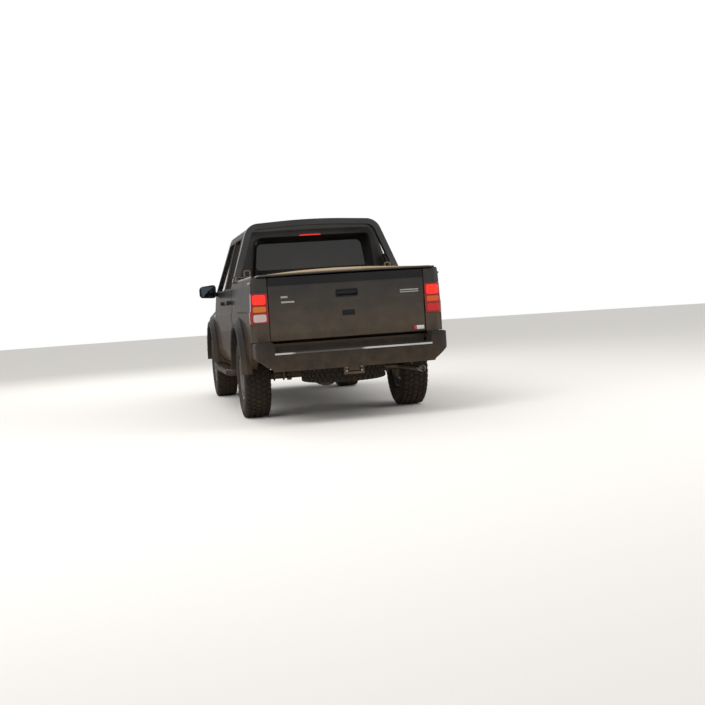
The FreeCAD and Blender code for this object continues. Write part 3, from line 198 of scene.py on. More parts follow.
def blockShape():
    # A box with every edge cut off: three points at each corner, worked out once for all blocks.
    signs = np.array([[x, y, z] for x in (-1, 1) for y in (-1, 1) for z in (-1, 1)])
    full = np.concatenate([signs[:, None] * (np.arange(3) == k)[None, None] for k in range(3)], 1)
    cut = np.repeat(signs[:, None], 3, 1) - full
    quads, tris = [], np.arange(24).reshape(8, 3)

    def corner(k, s, a, u, b, v):
        # Number of the first of the three points at the corner on side s of axis k, u of a and v of b.
        return 3 * sum(4 >> axis for axis, sign in ((k, s), (a, u), (b, v)) if sign > 0)

    for k in range(3):
        a, b = [j for j in range(3) if j != k]
        for s in (-1, 1):
            quads.append([corner(k, s, a, u, b, v) + k for u, v in ((-1, -1), (1, -1), (1, 1), (-1, 1))])
            for t in (-1, 1):
                one, two = corner(a, s, b, t, k, -1), corner(a, s, b, t, k, 1)
                quads.append([one + a, one + b, two + b, two + a])
    reach = (full + cut * 0.8).reshape(-1, 3)

    def facingOut(face):
        # The face turned over if its normal points to the middle.
        normal = np.cross(reach[face[1]] - reach[face[0]], reach[face[2]] - reach[face[1]])
        return face if np.dot(normal, reach[face].mean(0)) > 0 else face[::-1]

    return (full.reshape(-1, 3), cut.reshape(-1, 3), np.array([facingOut(q) for q in quads]),
            np.array([facingOut(t) for t in tris]))


blockFull, blockCut, blockQuads, blockTris = blockShape()


def blocks(centres, halves, edge, turns=None):
    # Many boxes at once: centres and half sizes (n, 3), the width cut off each edge, and a turn for each.
    centres = np.asarray(centres, float).reshape(-1, 3)
    halves = np.broadcast_to(np.asarray(halves, float), centres.shape)
    local = (blockFull + blockCut)[None] * halves[:, None] - blockCut[None] * edge
    if turns is not None:
        turns = np.broadcast_to(np.asarray(turns, float), (len(centres), 3, 3))
        local = np.einsum("nij,nkj->nki", turns, local)
    count = np.arange(len(centres))[:, None, None] * 24
    return ((local + centres[:, None]).reshape(-1, 3), (blockQuads[None] + count).reshape(-1, 4),
            (blockTris[None] + count).reshape(-1, 3))


def turnAbout(axis, degrees):
    # The rotation matrix about X, Y or Z.
    return np.array(Matrix.Rotation(math.radians(degrees), 3, axis))


def bolts(places, axis, radius, height):
    # Hexagon heads with a chamfered top, all along one axis.
    profile = [(0, radius), (height * 0.75, radius), (height, radius * 0.82)]
    return [lathe(profile, place, axis, 6) for place in places]


def rod(start, end, radius, sides=14):
    # A round bar between two points, its ends chamfered by a fifth of the radius.
    start, end = np.asarray(start, float), np.asarray(end, float)
    length = np.linalg.norm(end - start)
    chamfer = min(radius * 0.2, length * 0.1)
    tip = radius - chamfer
    profile = [(0, tip), (chamfer, radius), (length - chamfer, radius), (length, tip)]
    return lathe(profile, start, end - start, sides)


def edgeOf(grid):
    # What lies round the edge of a grid, in order.
    return np.concatenate([grid[0, :], grid[1:, -1], grid[-1, -2::-1], grid[-2:0:-1, 0]])


def slab(top, under):
    # A closed plate between two grids of points of the same shape.
    top, under = np.asarray(top, float), np.asarray(under, float)
    above = np.arange(top.shape[0] * top.shape[1]).reshape(top.shape[:2])
    face = np.stack([above[:-1, :-1], above[1:, :-1], above[1:, 1:], above[:-1, 1:]], -1).reshape(-1, 4)
    edge = edgeOf(above)
    after = np.roll(edge, -1)
    side = np.stack([edge, after, after + above.size, edge + above.size], -1)
    return outward(np.concatenate([top.reshape(-1, 3), under.reshape(-1, 3)]),
                   np.concatenate([face, face[:, ::-1] + above.size, side]), np.zeros((0, 3), int))


def plate(place, across, above, half, radius, height, edge=0.001):
    # A rounded plate standing on a surface: its outline lifted, then drawn in over the rounded top edge.
    across, above = unit(across), unit(above)
    out = np.cross(across, above)
    rings = []
    for shrink, lift in ((0, 0), (0, height - edge), (edge * 0.3, height - edge * 0.3), (edge, height)):
        flat = roundRect(half[0] - shrink, half[1] - shrink, max(radius - shrink, 1e-4))
        rings.append(np.asarray(place) + flat[:, :1] * across + flat[:, 1:] * above + out * lift)
    return skin(rings)


def pillow(place, across, along, half, thick, crown=0.0, pull=0.02, channels=(), bolster=0.0, count=(44, 44)):
    # A padded form: two faces whose height falls off steeply at the edge, sides pulled in between the
    # corners, raised side bolsters, and sewn channels pressed in along lines: 0 across or 1 along, place,
    # depth and width.
    across, along = unit(across), unit(along)
    out = np.cross(across, along)
    s = np.sin(np.linspace(-1, 1, count[0]) * np.pi / 2)[:, None]
    t = np.sin(np.linspace(-1, 1, count[1]) * np.pi / 2)[None]
    corner = 1 - 0.07 * (np.abs(s) * np.abs(t)) ** 6
    x = half[0] * s * (1 - pull * (1 - t ** 2)) * corner
    y = half[1] * t * (1 - pull * (1 - s ** 2)) * corner
    fall = np.sqrt(np.clip((1 - np.abs(s) ** 7) * (1 - np.abs(t) ** 7), 0, 1))
    under = -thick * (0.3 + 0.7 * fall)
    top = crown * (1 - s ** 2) * (1 - t ** 2) - under
    top = top + bolster * np.exp(-((np.abs(s) - 0.82) / 0.13) ** 2) * fall
    for axis, where, depth, width in channels:
        top = top - depth * np.exp(-(((x, y)[axis] - where) / width) ** 2) * fall
    face = lambda h: np.asarray(place) + x[..., None] * across + y[..., None] * along + h[..., None] * out
    return slab(face(top), face(under)), edgeOf(face(np.full_like(top, thick * 0.3)))[::2]


def surfaceOf(name):
    # A tree of one solid's triangles, to lay trim on it.
    mesh = nodes[name].data
    points, faces = np.empty(len(mesh.vertices) * 3), np.empty(len(mesh.loops), int)
    mesh.vertices.foreach_get("co", points)
    mesh.loops.foreach_get("vertex_index", faces)
    return BVHTree.FromPolygons(points.reshape(-1, 3).tolist(), faces.reshape(-1, 3).tolist())


def laidOn(tree, path, direction, lift=0.0):
    # Path points moved along a direction until they meet the surface, then lifted off it.
    d = Vector(direction).normalized()
    laid = []
    for p in path:
        hit = tree.ray_cast(Vector(p) - d * 0.6, d, 1.6)[0]
        laid.append(hit - d * lift if hit else Vector(p))
    return np.array(laid)


def sideY(z):
    # Half width of the body at a height, from the body side's corners.
    return np.interp(z, truck["sideZ"], truck["sideY"])


# Materials
def linear(text):
    # An sRGB hex colour as linear red, green, blue and 1.
    value = np.array([int(text[i:i + 2], 16) for i in (1, 3, 5)]) / 255
    return (*np.where(value <= 0.04045, value / 12.92, ((value + 0.055) / 1.055) ** 2.4).tolist(), 1.0)


def add(tree, kind, given, output=0):
    # One node and one of its outputs. Another node's output is linked to the input it is given for, and any
    # other value sets that input, a property or a ramp's stops.
    node = tree.nodes.new("ShaderNode" + kind)
    for key, value in given.items():
        if isinstance(value, bpy.types.NodeSocket):
            tree.links.new(value, node.inputs[key])
        elif key == "stops":
            for element, (place, colour) in zip(node.color_ramp.elements, value):
                element.position, element.color = place, colour
        elif isinstance(key, str) and hasattr(node, key):
            setattr(node, key, value)
        else:
            node.inputs[key].default_value = value
    return node.outputs[output] if node.outputs else None


def newMaterial(name):
    # An empty node material, its tree and the truck's own coordinates in it.
    material = bpy.data.materials.new(name)
    material.use_nodes = True
    material.node_tree.nodes.clear()
    materials[name] = material
    return material.node_tree, add(material.node_tree, "TexCoord", {}, "Object")


plain = {"metallic": 0.0, "coat": 0.0, "coatRough": 0.05, "sheen": 0.0, "sheenColour": "#ffffff",
         "specular": 0.5, "edge": "#ffffff", "patchMm": 300, "speck": 0.5, "bump": 0.3, "bumpMm": 0.3,
         "dust": 0.0, "dustColour": "#7d6548"}


def finish(name, given):
    # A material from its base colours, gloss, grain in millimetres and the dust that lies on it.
    # Dust is thickest at dustZ[0] and gone at dustZ[1], both heights on the truck.
    spec = {**plain, **given}
    tree, where = newMaterial(name)
    gloss = add(tree, "BsdfPrincipled", {"Metallic": spec["metallic"], "IOR": 1.5,
                                         "Coat Weight": spec["coat"], "Coat Roughness": spec["coatRough"],
                                         "Sheen Weight": spec["sheen"],
                                         "Sheen Tint": linear(spec["sheenColour"]),
                                         "Specular IOR Level": spec["specular"],
                                         "Specular Tint": linear(spec["edge"])})
    broad = add(tree, "TexNoise", {"Scale": 1000 / spec["patchMm"], "Detail": 4.0, "Roughness": 0.6,
                                   "Vector": where})
    fine = add(tree, "TexNoise", {"Scale": 1000 / spec["grainMm"], "Detail": 3.0, "Roughness": 0.55,
                                  "Vector": where})
    first, second = (linear(text) for text in spec["colours"])
    colour = add(tree, "ValToRGB", {"stops": [(0.32, first), (0.68, second)], "Fac": broad})
    speck = add(tree, "ValToRGB", {"stops": [(0.35, (0.82, 0.82, 0.82, 1)), (0.65, (1.12, 1.12, 1.12, 1))],
                                   "Fac": fine})
    colour = add(tree, "Mix", {"data_type": "RGBA", "blend_type": "MULTIPLY", 0: spec["speck"], 6: colour,
                               7: speck}, 2)
    low, high = spec["rough"]
    rough = add(tree, "MapRange", {"From Min": 0.3, "From Max": 0.7, "To Min": low, "To Max": high,
                                   "Value": broad})
    if spec["dust"]:
        z = add(tree, "SeparateXYZ", {"Vector": where}, "Z")
        thick, gone = spec["dustZ"]
        height = add(tree, "MapRange", {"From Min": thick, "From Max": gone, "To Min": 1.0, "To Max": 0.0,
                                        "Value": z})
        cloud = add(tree, "TexNoise", {"Scale": 9.0, "Detail": 7.0, "Roughness": 0.65, "Vector": where})
        cloud = add(tree, "MapRange", {"From Min": 0.34, "From Max": 0.66, "Value": cloud})
        veil = add(tree, "Math", {"operation": "MULTIPLY_ADD", 1: 0.6, 2: 0.4, 0: cloud})
        veil = add(tree, "Math", {"operation": "MULTIPLY", 0: veil, 1: height})
        veil = add(tree, "Math", {"operation": "MULTIPLY", 1: spec["dust"], "use_clamp": True, 0: veil})
        colour = add(tree, "Mix", {"data_type": "RGBA", 7: linear(spec["dustColour"]), 0: veil, 6: colour}, 2)
        rough = add(tree, "Mix", {"data_type": "FLOAT", 3: 0.85, 0: veil, 2: rough})
    bump = add(tree, "Bump", {"Strength": spec["bump"], "Distance": spec["bumpMm"] / 1000, "Height": fine})
    inputs = gloss.node.inputs
    for key, source in (("Base Color", colour), ("Roughness", rough), ("Normal", bump)):
        tree.links.new(source, inputs[key])
    add(tree, "OutputMaterial", {"Surface": gloss})
    return tree, inputs, where


finishes = {
    # Dark graphite metallic lacquer: flakes under a glossy clear coat, dusty towards the sills.
    # The edge colour keeps its reflection dark at a glancing view.
    "graphiteLacquer": {"colours": ["#353332", "#3d3b38"], "metallic": 0.85, "rough": [0.34, 0.44],
                        "coat": 0.12, "coatRough": 0.08, "edge": "#867c72", "grainMm": 3, "speck": 0.35,
                        "bump": 0.0, "dust": 0.55, "dustZ": [0.40, 1.15]},
    # Grained black polypropylene: flares, bumper, mirrors.
    "blackPlastic": {"colours": ["#131314", "#1a1a1b"], "rough": [0.55, 0.7], "specular": 0.15,
                     "grainMm": 2.5, "bump": 0.35, "bumpMm": 0.25, "dust": 0.34, "dustZ": [0.25, 0.85]},
    # Black chassis enamel, satin, caked with dry dust.
    "chassisEnamel": {"colours": ["#17171a", "#222223"], "rough": [0.45, 0.7], "grainMm": 6, "bumpMm": 0.4,
                      "dust": 0.85, "dustZ": [0.2, 0.85]},
    # As-cast iron, grey-brown with fine scale.
    "castIron": {"colours": ["#3d3833", "#4c443b"], "metallic": 0.6, "rough": [0.55, 0.8], "grainMm": 4,
                 "bump": 0.5, "bumpMm": 0.5, "dust": 0.6, "dustZ": [0.15, 0.8]},
    # Aluminised steel tube, browned by heat.
    "exhaustSteel": {"colours": ["#5d544a", "#776a5b"], "metallic": 0.9, "rough": [0.4, 0.65], "grainMm": 5,
                     "bump": 0.25, "bumpMm": 0.2, "dust": 0.6, "dustZ": [0.3, 0.7]},
    # Vulcanised rubber, matt, with dust in the grooves.
    "tyreRubber": {"colours": ["#161514", "#1e1c1b"], "rough": [0.75, 0.9], "specular": 0.2, "grainMm": 3,
                   "bump": 0.35, "dust": 0.38, "dustZ": [-0.6, 1.0], "dustColour": "#6b563d"},
    # Painted cast aluminium, silver-grey, with a soft gloss.
    "wheelAlloy": {"colours": ["#7f8184", "#8d8f91"], "metallic": 0.85, "rough": [0.3, 0.42], "coat": 0.4,
                   "grainMm": 2, "speck": 0.3, "bump": 0.1, "bumpMm": 0.1, "dust": 0.55, "dustZ": [0.0, 0.9]},
    # Brushed aluminium: bright, with a fine drawn grain.
    "brushedAluminium": {"colours": ["#b9b9b7", "#c9c9c7"], "metallic": 1.0, "rough": [0.22, 0.34],
                         "grainMm": 2, "bump": 0.15, "bumpMm": 0.1, "dust": 0.3, "dustZ": [0.4, 1.0]},
    # Chrome plate: a clean mirror.
    "chromePlate": {"colours": ["#d0d0d0", "#dadada"], "metallic": 1.0, "rough": [0.05, 0.1], "grainMm": 5,
                    "speck": 0.1, "bump": 0.0},
    # Zinc-plated steel of bolts and clips: dull grey.
    "zincSteel": {"colours": ["#8a8780", "#9c988f"], "metallic": 0.9, "rough": [0.35, 0.5], "grainMm": 2,
                  "bump": 0.2, "bumpMm": 0.1},
    # Powder-coated tube of the sports bar.
    "powderCoat": {"colours": ["#151516", "#1c1c1d"], "rough": [0.3, 0.42], "specular": 0.35, "coat": 0.1,
                   "grainMm": 3, "bump": 0.15, "bumpMm": 0.15, "dust": 0.25, "dustZ": [1.2, 1.5]},
    # Black vinyl-coated cloth, leather-like grain, dusty on top, where painted sunlight makes it tan too.
    "blackVinyl": {"colours": ["#1f1e1d", "#2a2826"], "rough": [0.5, 0.66], "specular": 0.3, "grainMm": 2.2,
                   # The tan sheen tint is a painted sunlit highlight at a glancing view.
                   "bump": 0.5, "bumpMm": 0.35, "sheen": 0.6, "sheenColour": "#b39a70", "dust": 0.78,
                   "dustZ": [1.338, 1.300], "dustColour": "#b39a70"},
    # Flat woven seat cloth and the grained ABS of the cab.
    "seatCloth": {"colours": ["#34353a", "#3d3e43"], "rough": [0.85, 0.95], "grainMm": 3, "bump": 0.6,
                  "bumpMm": 0.6, "sheen": 0.4},
    "trimPlastic": {"colours": ["#2a2a2c", "#333336"], "rough": [0.55, 0.7], "grainMm": 2, "bump": 0.35,
                    "bumpMm": 0.2},
    # Needled felt overhead, moulded rubber of seals and mats.
    "headliner": {"colours": ["#8d8a84", "#979490"], "rough": [0.9, 0.95], "grainMm": 3},
    "doorRubber": {"colours": ["#101010", "#171717"], "rough": [0.6, 0.75], "specular": 0.25, "grainMm": 3,
                   "bump": 0.2, "bumpMm": 0.2},
    # Silvered glass and vacuum-coated reflectors.
    "mirrorGlass": {"colours": ["#3b4347", "#454d51"], "metallic": 1.0, "rough": [0.04, 0.08],
                    "edge": "#50585c", "grainMm": 10, "speck": 0.05, "bump": 0.0},
    "silvered": {"colours": ["#c4c8cb", "#cfd2d5"], "metallic": 1.0, "rough": [0.03, 0.06], "grainMm": 10,
                 "speck": 0.05, "bump": 0.0},
    # Woven polyester belt, matt black, its rib drawn 2 mm wide.
    "beltWebbing": {"colours": ["#18181a", "#202022"], "rough": [0.75, 0.85], "grainMm": 2, "bump": 0.4},
    # Screen-printed ink, and fluted glass over a bright bowl.
    "whiteInk": {"colours": ["#e2e2de", "#eaeae6"], "rough": [0.5, 0.6], "grainMm": 2, "bump": 0.0},
    "fogGlass": {"colours": ["#767c7f", "#8b9092"], "metallic": 0.5, "rough": [0.04, 0.1], "coat": 1.0,
                 "grainMm": 7, "speck": 0.6, "bump": 0.4, "bumpMm": 0.6},
    # Injection-moulded acrylic, coloured through.
    "amberAcrylic": {"colours": ["#c4690f", "#d07416"], "rough": [0.08, 0.14], "coat": 1.0, "grainMm": 5,
                     "bump": 0.4, "bumpMm": 0.5},
    # Brushed-on engine enamel, half matt.
    "engineEnamel": {"colours": ["#2f3133", "#3b3d3f"], "metallic": 0.3, "rough": [0.5, 0.7], "grainMm": 5,
                     "bumpMm": 0.4},
}
for name, spec in finishes.items():
    finish(name, spec)


def tintedGlass(name, tint, rough, rearTint=None):
    # Toughened glass: a tinted see-through sheet with a sharp reflection and a thin film of dust.
    # Panes behind the middle of the truck may be darker.
    tree, where = newMaterial(name)
    film = add(tree, "TexNoise", {"Scale": 6.0, "Detail": 6.0, "Roughness": 0.7, "Vector": where})
    film = add(tree, "MapRange", {"From Min": 0.35, "From Max": 0.75, "To Min": 0.012, "To Max": 0.06,
                                  "Value": film})
    clear = add(tree, "BsdfTransparent", {"Color": linear(tint)})
    if rearTint:
        x = add(tree, "SeparateXYZ", {"Vector": where}, "X")
        behind = add(tree, "Math", {"operation": "LESS_THAN", 1: 0.0, 0: x})
        shade = add(tree, "Mix", {"data_type": "RGBA", 6: linear(tint), 7: linear(rearTint), 0: behind}, 2)
        tree.links.new(shade, clear.node.inputs["Color"])
    gloss = add(tree, "BsdfGlossy", {"Color": (1, 1, 1, 1), "Roughness": rough})
    dust = add(tree, "BsdfDiffuse", {"Color": linear("#8c7d69")})
    pane = add(tree, "MixShader", {0: add(tree, "Fresnel", {"IOR": 1.5}), 1: clear, 2: gloss})
    add(tree, "OutputMaterial", {"Surface": add(tree, "MixShader", {0: film, 1: pane, 2: dust})})


tintedGlass("greenTintGlass", "#8fa098", 0.02)
tintedGlass("laminatedScreenGlass", "#9fb0a8", 0.02, "#26292b")
tintedGlass("privacyGlass", "#33393a", 0.02)
tintedGlass("clearAcrylic", "#eef1f1", 0.03)

# Tail lamps: a dark red surround with three moulded windows each side, and the high lamp red all over.
# Each window: middle height, half height, colour at the left lamp and at the right one. The first is lit; the
# rest of the acrylic gets a faint painted glow.
lamp = {"surround": "#7e0d0a", "across": 0.7720, "half": 0.0560, "highZ": 1.5, "lit": "#ff2010", "dim": 0.10,
        "bright": 0.75, "high": (1.7310, 0.0150, 0.1130), "housing": "#1d0807",
        "windows": [(1.0955, 0.0415, "#d21a12", "#d21a12"), (1.0130, 0.0240, "#b5620f", "#c0480c"),
                    (0.9370, 0.0330, "#ab9c95", "#b3130d")]}


def lampLens():
    # Moulded acrylic: clear gloss over colours that follow where each window lies.
    tree, inputs, where = finish("tailLampAcrylic", {
        "colours": ["#ffffff", "#ffffff"], "rough": [0.08, 0.14], "coat": 0.2, "specular": 0.35,
        "coatRough": 0.03, "grainMm": 20, "speck": 0.0, "bump": 0.0})
    split = add(tree, "SeparateXYZ", {"Vector": where}).node.outputs
    y, z = split["Y"], split["Z"]
    right = add(tree, "Math", {"operation": "LESS_THAN", 1: 0.0, 0: y})
    reach = add(tree, "Math", {"operation": "ABSOLUTE", 0: y})

    def away(value, middle, half):
        # Sixth power of the distance from the middle in half widths: 1 at the window's edge.
        gap = add(tree, "Math", {"operation": "SUBTRACT", 1: middle, 0: value})
        gap = add(tree, "Math", {"operation": "DIVIDE", 1: half, 0: gap})
        gap = add(tree, "Math", {"operation": "MULTIPLY", 0: gap, 1: gap})
        return add(tree, "Math", {"operation": "POWER", 1: 3.0, 0: gap})

    def inside(wide, tall):
        # 1 inside the rounded window, 0 outside it, with a soft edge.
        both = add(tree, "Math", {"operation": "ADD", 0: wide, 1: tall})
        return add(tree, "MapRange", {"From Min": 0.85, "From Max": 1.1, "To Min": 1.0, "To Max": 0.0,
                                      "Value": both})

    wide = away(reach, lamp["across"], lamp["half"])
    high = add(tree, "Math", {"operation": "GREATER_THAN", 1: lamp["highZ"], 0: z})
    colour = add(tree, "Mix", {"data_type": "RGBA", 6: linear(lamp["surround"]), 7: linear(lamp["housing"]),
                               0: high}, 2)
    middle, half, width = lamp["high"]
    lit = inside(away(y, 0.0, width), away(z, middle, half))
    for number, (middle, half, left, rightColour) in enumerate(lamp["windows"]):
        mask = inside(wide, away(z, middle, half))
        pane = add(tree, "Mix", {"data_type": "RGBA", 6: linear(left), 7: linear(rightColour), 0: right}, 2)
        colour = add(tree, "Mix", {"data_type": "RGBA", 0: mask, 6: colour, 7: pane}, 2)
        if number == 0:
            lit = add(tree, "Math", {"operation": "MAXIMUM", 0: lit, 1: mask})
    colour = add(tree, "Mix", {"data_type": "RGBA", 7: linear(lamp["lit"]), 0: lit, 6: colour}, 2)
    flutes = add(tree, "TexWave", {"bands_direction": "Y", "Scale": 45.0, "Distortion": 0.0,
                                   "Vector": where}, "Fac")
    shade = add(tree, "MapRange", {"To Min": 0.62, "To Max": 1.1, "Value": flutes})
    colour = add(tree, "VectorMath", {"operation": "SCALE", 0: colour, "Scale": shade})
    # The unlit windows and the surround glow faintly too: a painted glow, as no lamp lights them.
    glow = add(tree, "MapRange", {"To Min": lamp["dim"], "To Max": lamp["bright"], "Value": lit})
    glow = add(tree, "VectorMath", {"operation": "SCALE", 0: colour, "Scale": glow})
    bump = add(tree, "Bump", {"Strength": 0.4, "Distance": 0.0012, "Height": flutes})
    for key, source in (("Base Color", colour), ("Emission Color", glow), ("Normal", bump)):
        tree.links.new(source, inputs[key])
    inputs["Emission Strength"].default_value = 1.0


def stripAlloy():
    # Aluminium strip on the bumper, darker along its middle. The bed rails are anodised black.
    tree, inputs, where = finish("stripAluminium", finishes["brushedAluminium"])
    split = add(tree, "SeparateXYZ", {"Vector": where}).node.outputs
    gap = add(tree, "Math", {"operation": "SUBTRACT", 1: 0.225, 0: split["Y"]})
    gap = add(tree, "Math", {"operation": "ABSOLUTE", 0: gap})
    darkerMiddle = add(tree, "MapRange", {"From Min": 0.28, "From Max": 0.33, "To Min": 0.9, "To Max": 0.0,
                                  "Value": gap})
    rail = add(tree, "Math", {"operation": "GREATER_THAN", 1: 1.0, 0: split["Z"]})
    bright = inputs["Base Color"].links[0].from_socket
    colour = add(tree, "Mix", {"data_type": "RGBA", 7: linear("#3f3a33"), 0: darkerMiddle, 6: bright}, 2)
    colour = add(tree, "Mix", {"data_type": "RGBA", 7: linear("#2f2d2b"), 0: rail, 6: colour}, 2)
    tree.links.new(colour, inputs["Base Color"])


def printedFilm():
    # Blank sticker film: red at its left end, silver over the rest.
    tree, inputs, where = finish("printedFilm", {"colours": ["#b9b9b6", "#c4c4c0"], "rough": [0.3, 0.4],
                                                 "grainMm": 3, "bump": 0.0})
    y = add(tree, "SeparateXYZ", {"Vector": where}, "Y")
    red = add(tree, "Math", {"operation": "GREATER_THAN", 1: -0.612, 0: y})
    film = add(tree, "Mix", {"data_type": "RGBA", 6: linear("#bdbdb9"), 7: linear("#a8221c"), 0: red}, 2)
    tree.links.new(film, inputs["Base Color"])


lampLens()
printedFilm()
stripAlloy()
print("materials made")

# Materials of the frame's own solids
wear = {
    "chassisEnamel": ["frame", "rear_axle", "suspension", "fuel_tank", "spare_rim"],
    "engineEnamel": ["engine_block", "driveline"], "exhaustSteel": ["exhaust"],
    "castIron": ["knuckle_left", "knuckle_right"], "trimPlastic": ["dashboard", "steering_wheel"],
    "graphiteLacquer": ["cab_shell", "hood", "front_wings", "bed", "tailgate",
                        *("door_" + q for q in quarters)],
    "blackPlastic": ["grille", "front_bumper", "rear_bumper", "arch_flares", "side_steps", "mirror_left",
                     "mirror_right", "tailgate_handle"],
    "powderCoat": ["sports_bar"], "wheelAlloy": ["rim_" + q for q in quarters],
    "stripAluminium": ["alloy_trim"],
    "privacyGlass": ["glass_rear_left", "glass_rear_right"], "laminatedScreenGlass": ["cab_glass"],
    "greenTintGlass": ["glass_front_left", "glass_front_right"], "chromePlate": ["front_lamps"],
    "tailLampAcrylic": ["tail_lamps"],
}
for material, group in wear.items():
    for name in group:
        nodes[name].data.materials.clear()
        nodes[name].data.materials.append(materials[material])


# Tyres: carcass turned round the axle, and lugs in rows round the tread
tyre = {
    "radius": truck["axleZ"], "pitches": 46, "sides": 92, "crownDrop": 0.0035, "crownReach": 0.11,
    # outwards from the middle plane and radius: one half of the carcass
    "half": [(0.0, 0.3740), (0.045, 0.3735), (0.085, 0.3720), (0.102, 0.3680), (0.112, 0.3590),
             (0.1180, 0.3440), (0.1210, 0.3250), (0.1218, 0.3240), (0.1222, 0.3050), (0.1216, 0.2800),
             (0.1212, 0.2790), (0.1170, 0.2480), (0.1105, 0.2260), (0.1125, 0.2200), (0.1070, 0.2130),
             (0.0960, 0.2060), (0.0900, 0.2045)],
    # lug rows: middle (outwards), half width, arc share of the pitch, slant, shift along the pitch
    "rows": [(-0.093, 0.0165, 0.66, 0.10, 0.0), (-0.0515, 0.0185, 0.72, -0.45, 0.5),
             (-0.0005, 0.0210, 0.74, 0.55, 0.1), (0.0505, 0.0185, 0.72, -0.45, 0.6),
             (0.093, 0.0165, 0.66, 0.10, 0.1)],
    # each lug's levels: share of its spread that is kept, and depth under the crown
    "levels": [(1.0, 0.016), (1.0, 0.0025), (0.93, 0.0)],
    # shoulder lugs: radii of their ends, and for each level the share kept and the distance outwards
    "shoulder": (0.3350, 0.3705), "shoulderLevels": [(1.0, 0.104), (1.0, 0.1212), (0.9, 0.1222)],
}


def drawnIn(values, share):
    # The corners of each lug moved toward their middle.
    middle = values.mean(1, keepdims=True)
    return middle + (values - middle) * share


def lugs(levels):
    # Many prisms at once from levels of corners (n, corners, 3), closed at the last level.
    stack = np.stack(levels, 1)
    n, count, sides = stack.shape[:3]
    index = np.arange(n * count * sides).reshape(n, count, sides)
    after = np.roll(index, -1, 2)
    quads = np.stack([index[:, :-1], after[:, :-1], after[:, 1:], index[:, 1:]], -1).reshape(-1, 4)
    tips = np.broadcast_to((index.size + np.arange(n))[:, None], (n, sides))
    tris = np.stack([tips, index[:, -1], after[:, -1]], -1).reshape(-1, 3)
    return outward(np.concatenate([stack.reshape(-1, 3), stack[:, -1].mean(1)]), quads, tris)


def tyreParts(centre, axis):
    # The carcass is its half profile and the mirror image. A lug's corners lie at an angle round the tyre
    # and a distance across it, on a crown that falls with the square of that distance.
    half = np.array(tyre["half"])
    outline = np.concatenate([half[::-1], half[1:] * [-1, 1]])
    parts = [lathe(outline, (0, 0, 0), (0, 1, 0), tyre["sides"], True)]
    pitch = 2 * np.pi / tyre["pitches"]
    index = np.arange(tyre["pitches"])[:, None]
    corners = np.array([(-1, -1), (-0.55, -1), (1, -1), (1, 1), (0.55, 1), (-1, 1)], float)
    for middle, halfWidth, share, slant, shift in tyre["rows"]:
        across = middle + corners[None, :, 1] * halfWidth * np.where(index % 2 == 0, 1.0, 0.86)
        turn = (index + shift) * pitch + corners[None, :, 0] * pitch * share / 2
        turn = turn + slant * corners[None, :, 1] * pitch * 0.25
        crown = tyre["radius"] - tyre["crownDrop"] * (np.abs(across) / tyre["crownReach"]) ** 2
        levels = []
        for keep, depth in tyre["levels"]:
            a, r = drawnIn(turn, keep), crown - depth
            levels.append(np.stack([r * np.sin(a), drawnIn(across, keep), r * np.cos(a)], -1))
        parts.append(lugs(levels))
    # Shoulder lugs reach down the side wall.
    for side in (1, -1):
        turn = (index + (0.05 if side > 0 else 0.0)) * pitch + np.array([-1, 1, 1, -1]) * pitch * 0.27
        radius = np.broadcast_to(np.repeat(tyre["shoulder"], 2), turn.shape)
        levels = []
        for keep, out in tyre["shoulderLevels"]:
            a, r = drawnIn(turn, keep), drawnIn(radius, keep)
            y = side * (out - np.where(r > 0.35, 0.0065, 0.0))
            levels.append(np.stack([r * np.sin(a), y, r * np.cos(a)], -1))
        parts.append(lugs(levels))
    turnTo = np.array(Vector((0, 1, 0)).rotation_difference(Vector(axis)).to_matrix())
    return [(p @ turnTo.T + np.array(centre), q, t) for p, q, t in parts]


# Each wheel's middle, the way that it faces and its body
tyres = {q: (hubs["wheel_" + q], (0, 1 if "left" in q else -1, 0), "wheel_" + q) for q in quarters}
for name, (centre, axis, body) in tyres.items():
    tread = putMesh("treadedTyre_" + name, tyreParts(centre, axis), "tyreRubber", body)
    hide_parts("tyre_" + name)
spare = putMesh("treadedTyre_spare", tyreParts((-1.975, 0, 0.455), (0, 0, -1)), "tyreRubber")
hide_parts("spare_tyre")
print("tyres made")

# Tonneau cover: one sheet stretched over the load bed on three bows, hemmed all round
coverLow, coverHigh = boxOf("tonneau_cover")
tonneau = {"rear": coverLow[0] + 0.001, "front": coverHigh[0] - 0.007, "half": coverHigh[1] - 0.003,
           "rows": 150, "cols": 84, "edgeZ": 1.3055, "crown": 0.040, "thick": 0.0012, "drop": 0.0125,
           "rearDrop": 0.012, "bows": [-1.98, -1.58, -1.18], "bowRise": 0.0022, "hemRadius": 0.0042,
           "seams": (-0.30, 0.30)}


def tonneauGrid(lift):
    # Height = edge + crown (1 - y squared) rising from both ends + a ridge over each bow + faint slack
    # ripples, and the last strips turn down over the rails and the tailgate.
    u = np.linspace(0, 1, tonneau["rows"])[:, None]
    v = np.linspace(-1, 1, tonneau["cols"])[None]
    x = tonneau["rear"] + (tonneau["front"] - tonneau["rear"]) * u
    rise = np.clip(np.minimum(u / 0.28, (1 - u) / 0.42), 0, 1)
    z = tonneau["edgeZ"] + tonneau["crown"] * (1 - v ** 2) * (0.16 + 0.84 * (rise * (2 - rise)))
    for bow in tonneau["bows"]:
        z = z + tonneau["bowRise"] * np.exp(-((x - bow) / 0.035) ** 2) * (1 - v ** 4)
    z = z + 0.0007 * np.sin(x * 46 + 3 * np.sin(v * 5)) * np.cos(v * 9 + x * 4) * (1 - v ** 2)
    side = np.clip((np.abs(v) - 0.985) / 0.015, 0, 1)
    rearEdge = np.clip((0.006 - u) / 0.006, 0, 1)
    z = z - tonneau["drop"] * side - tonneau["rearDrop"] * rearEdge * (1 - side)
    return np.stack([x * np.ones_like(v), tonneau["half"] * v * np.ones_like(u), z + lift], -1)


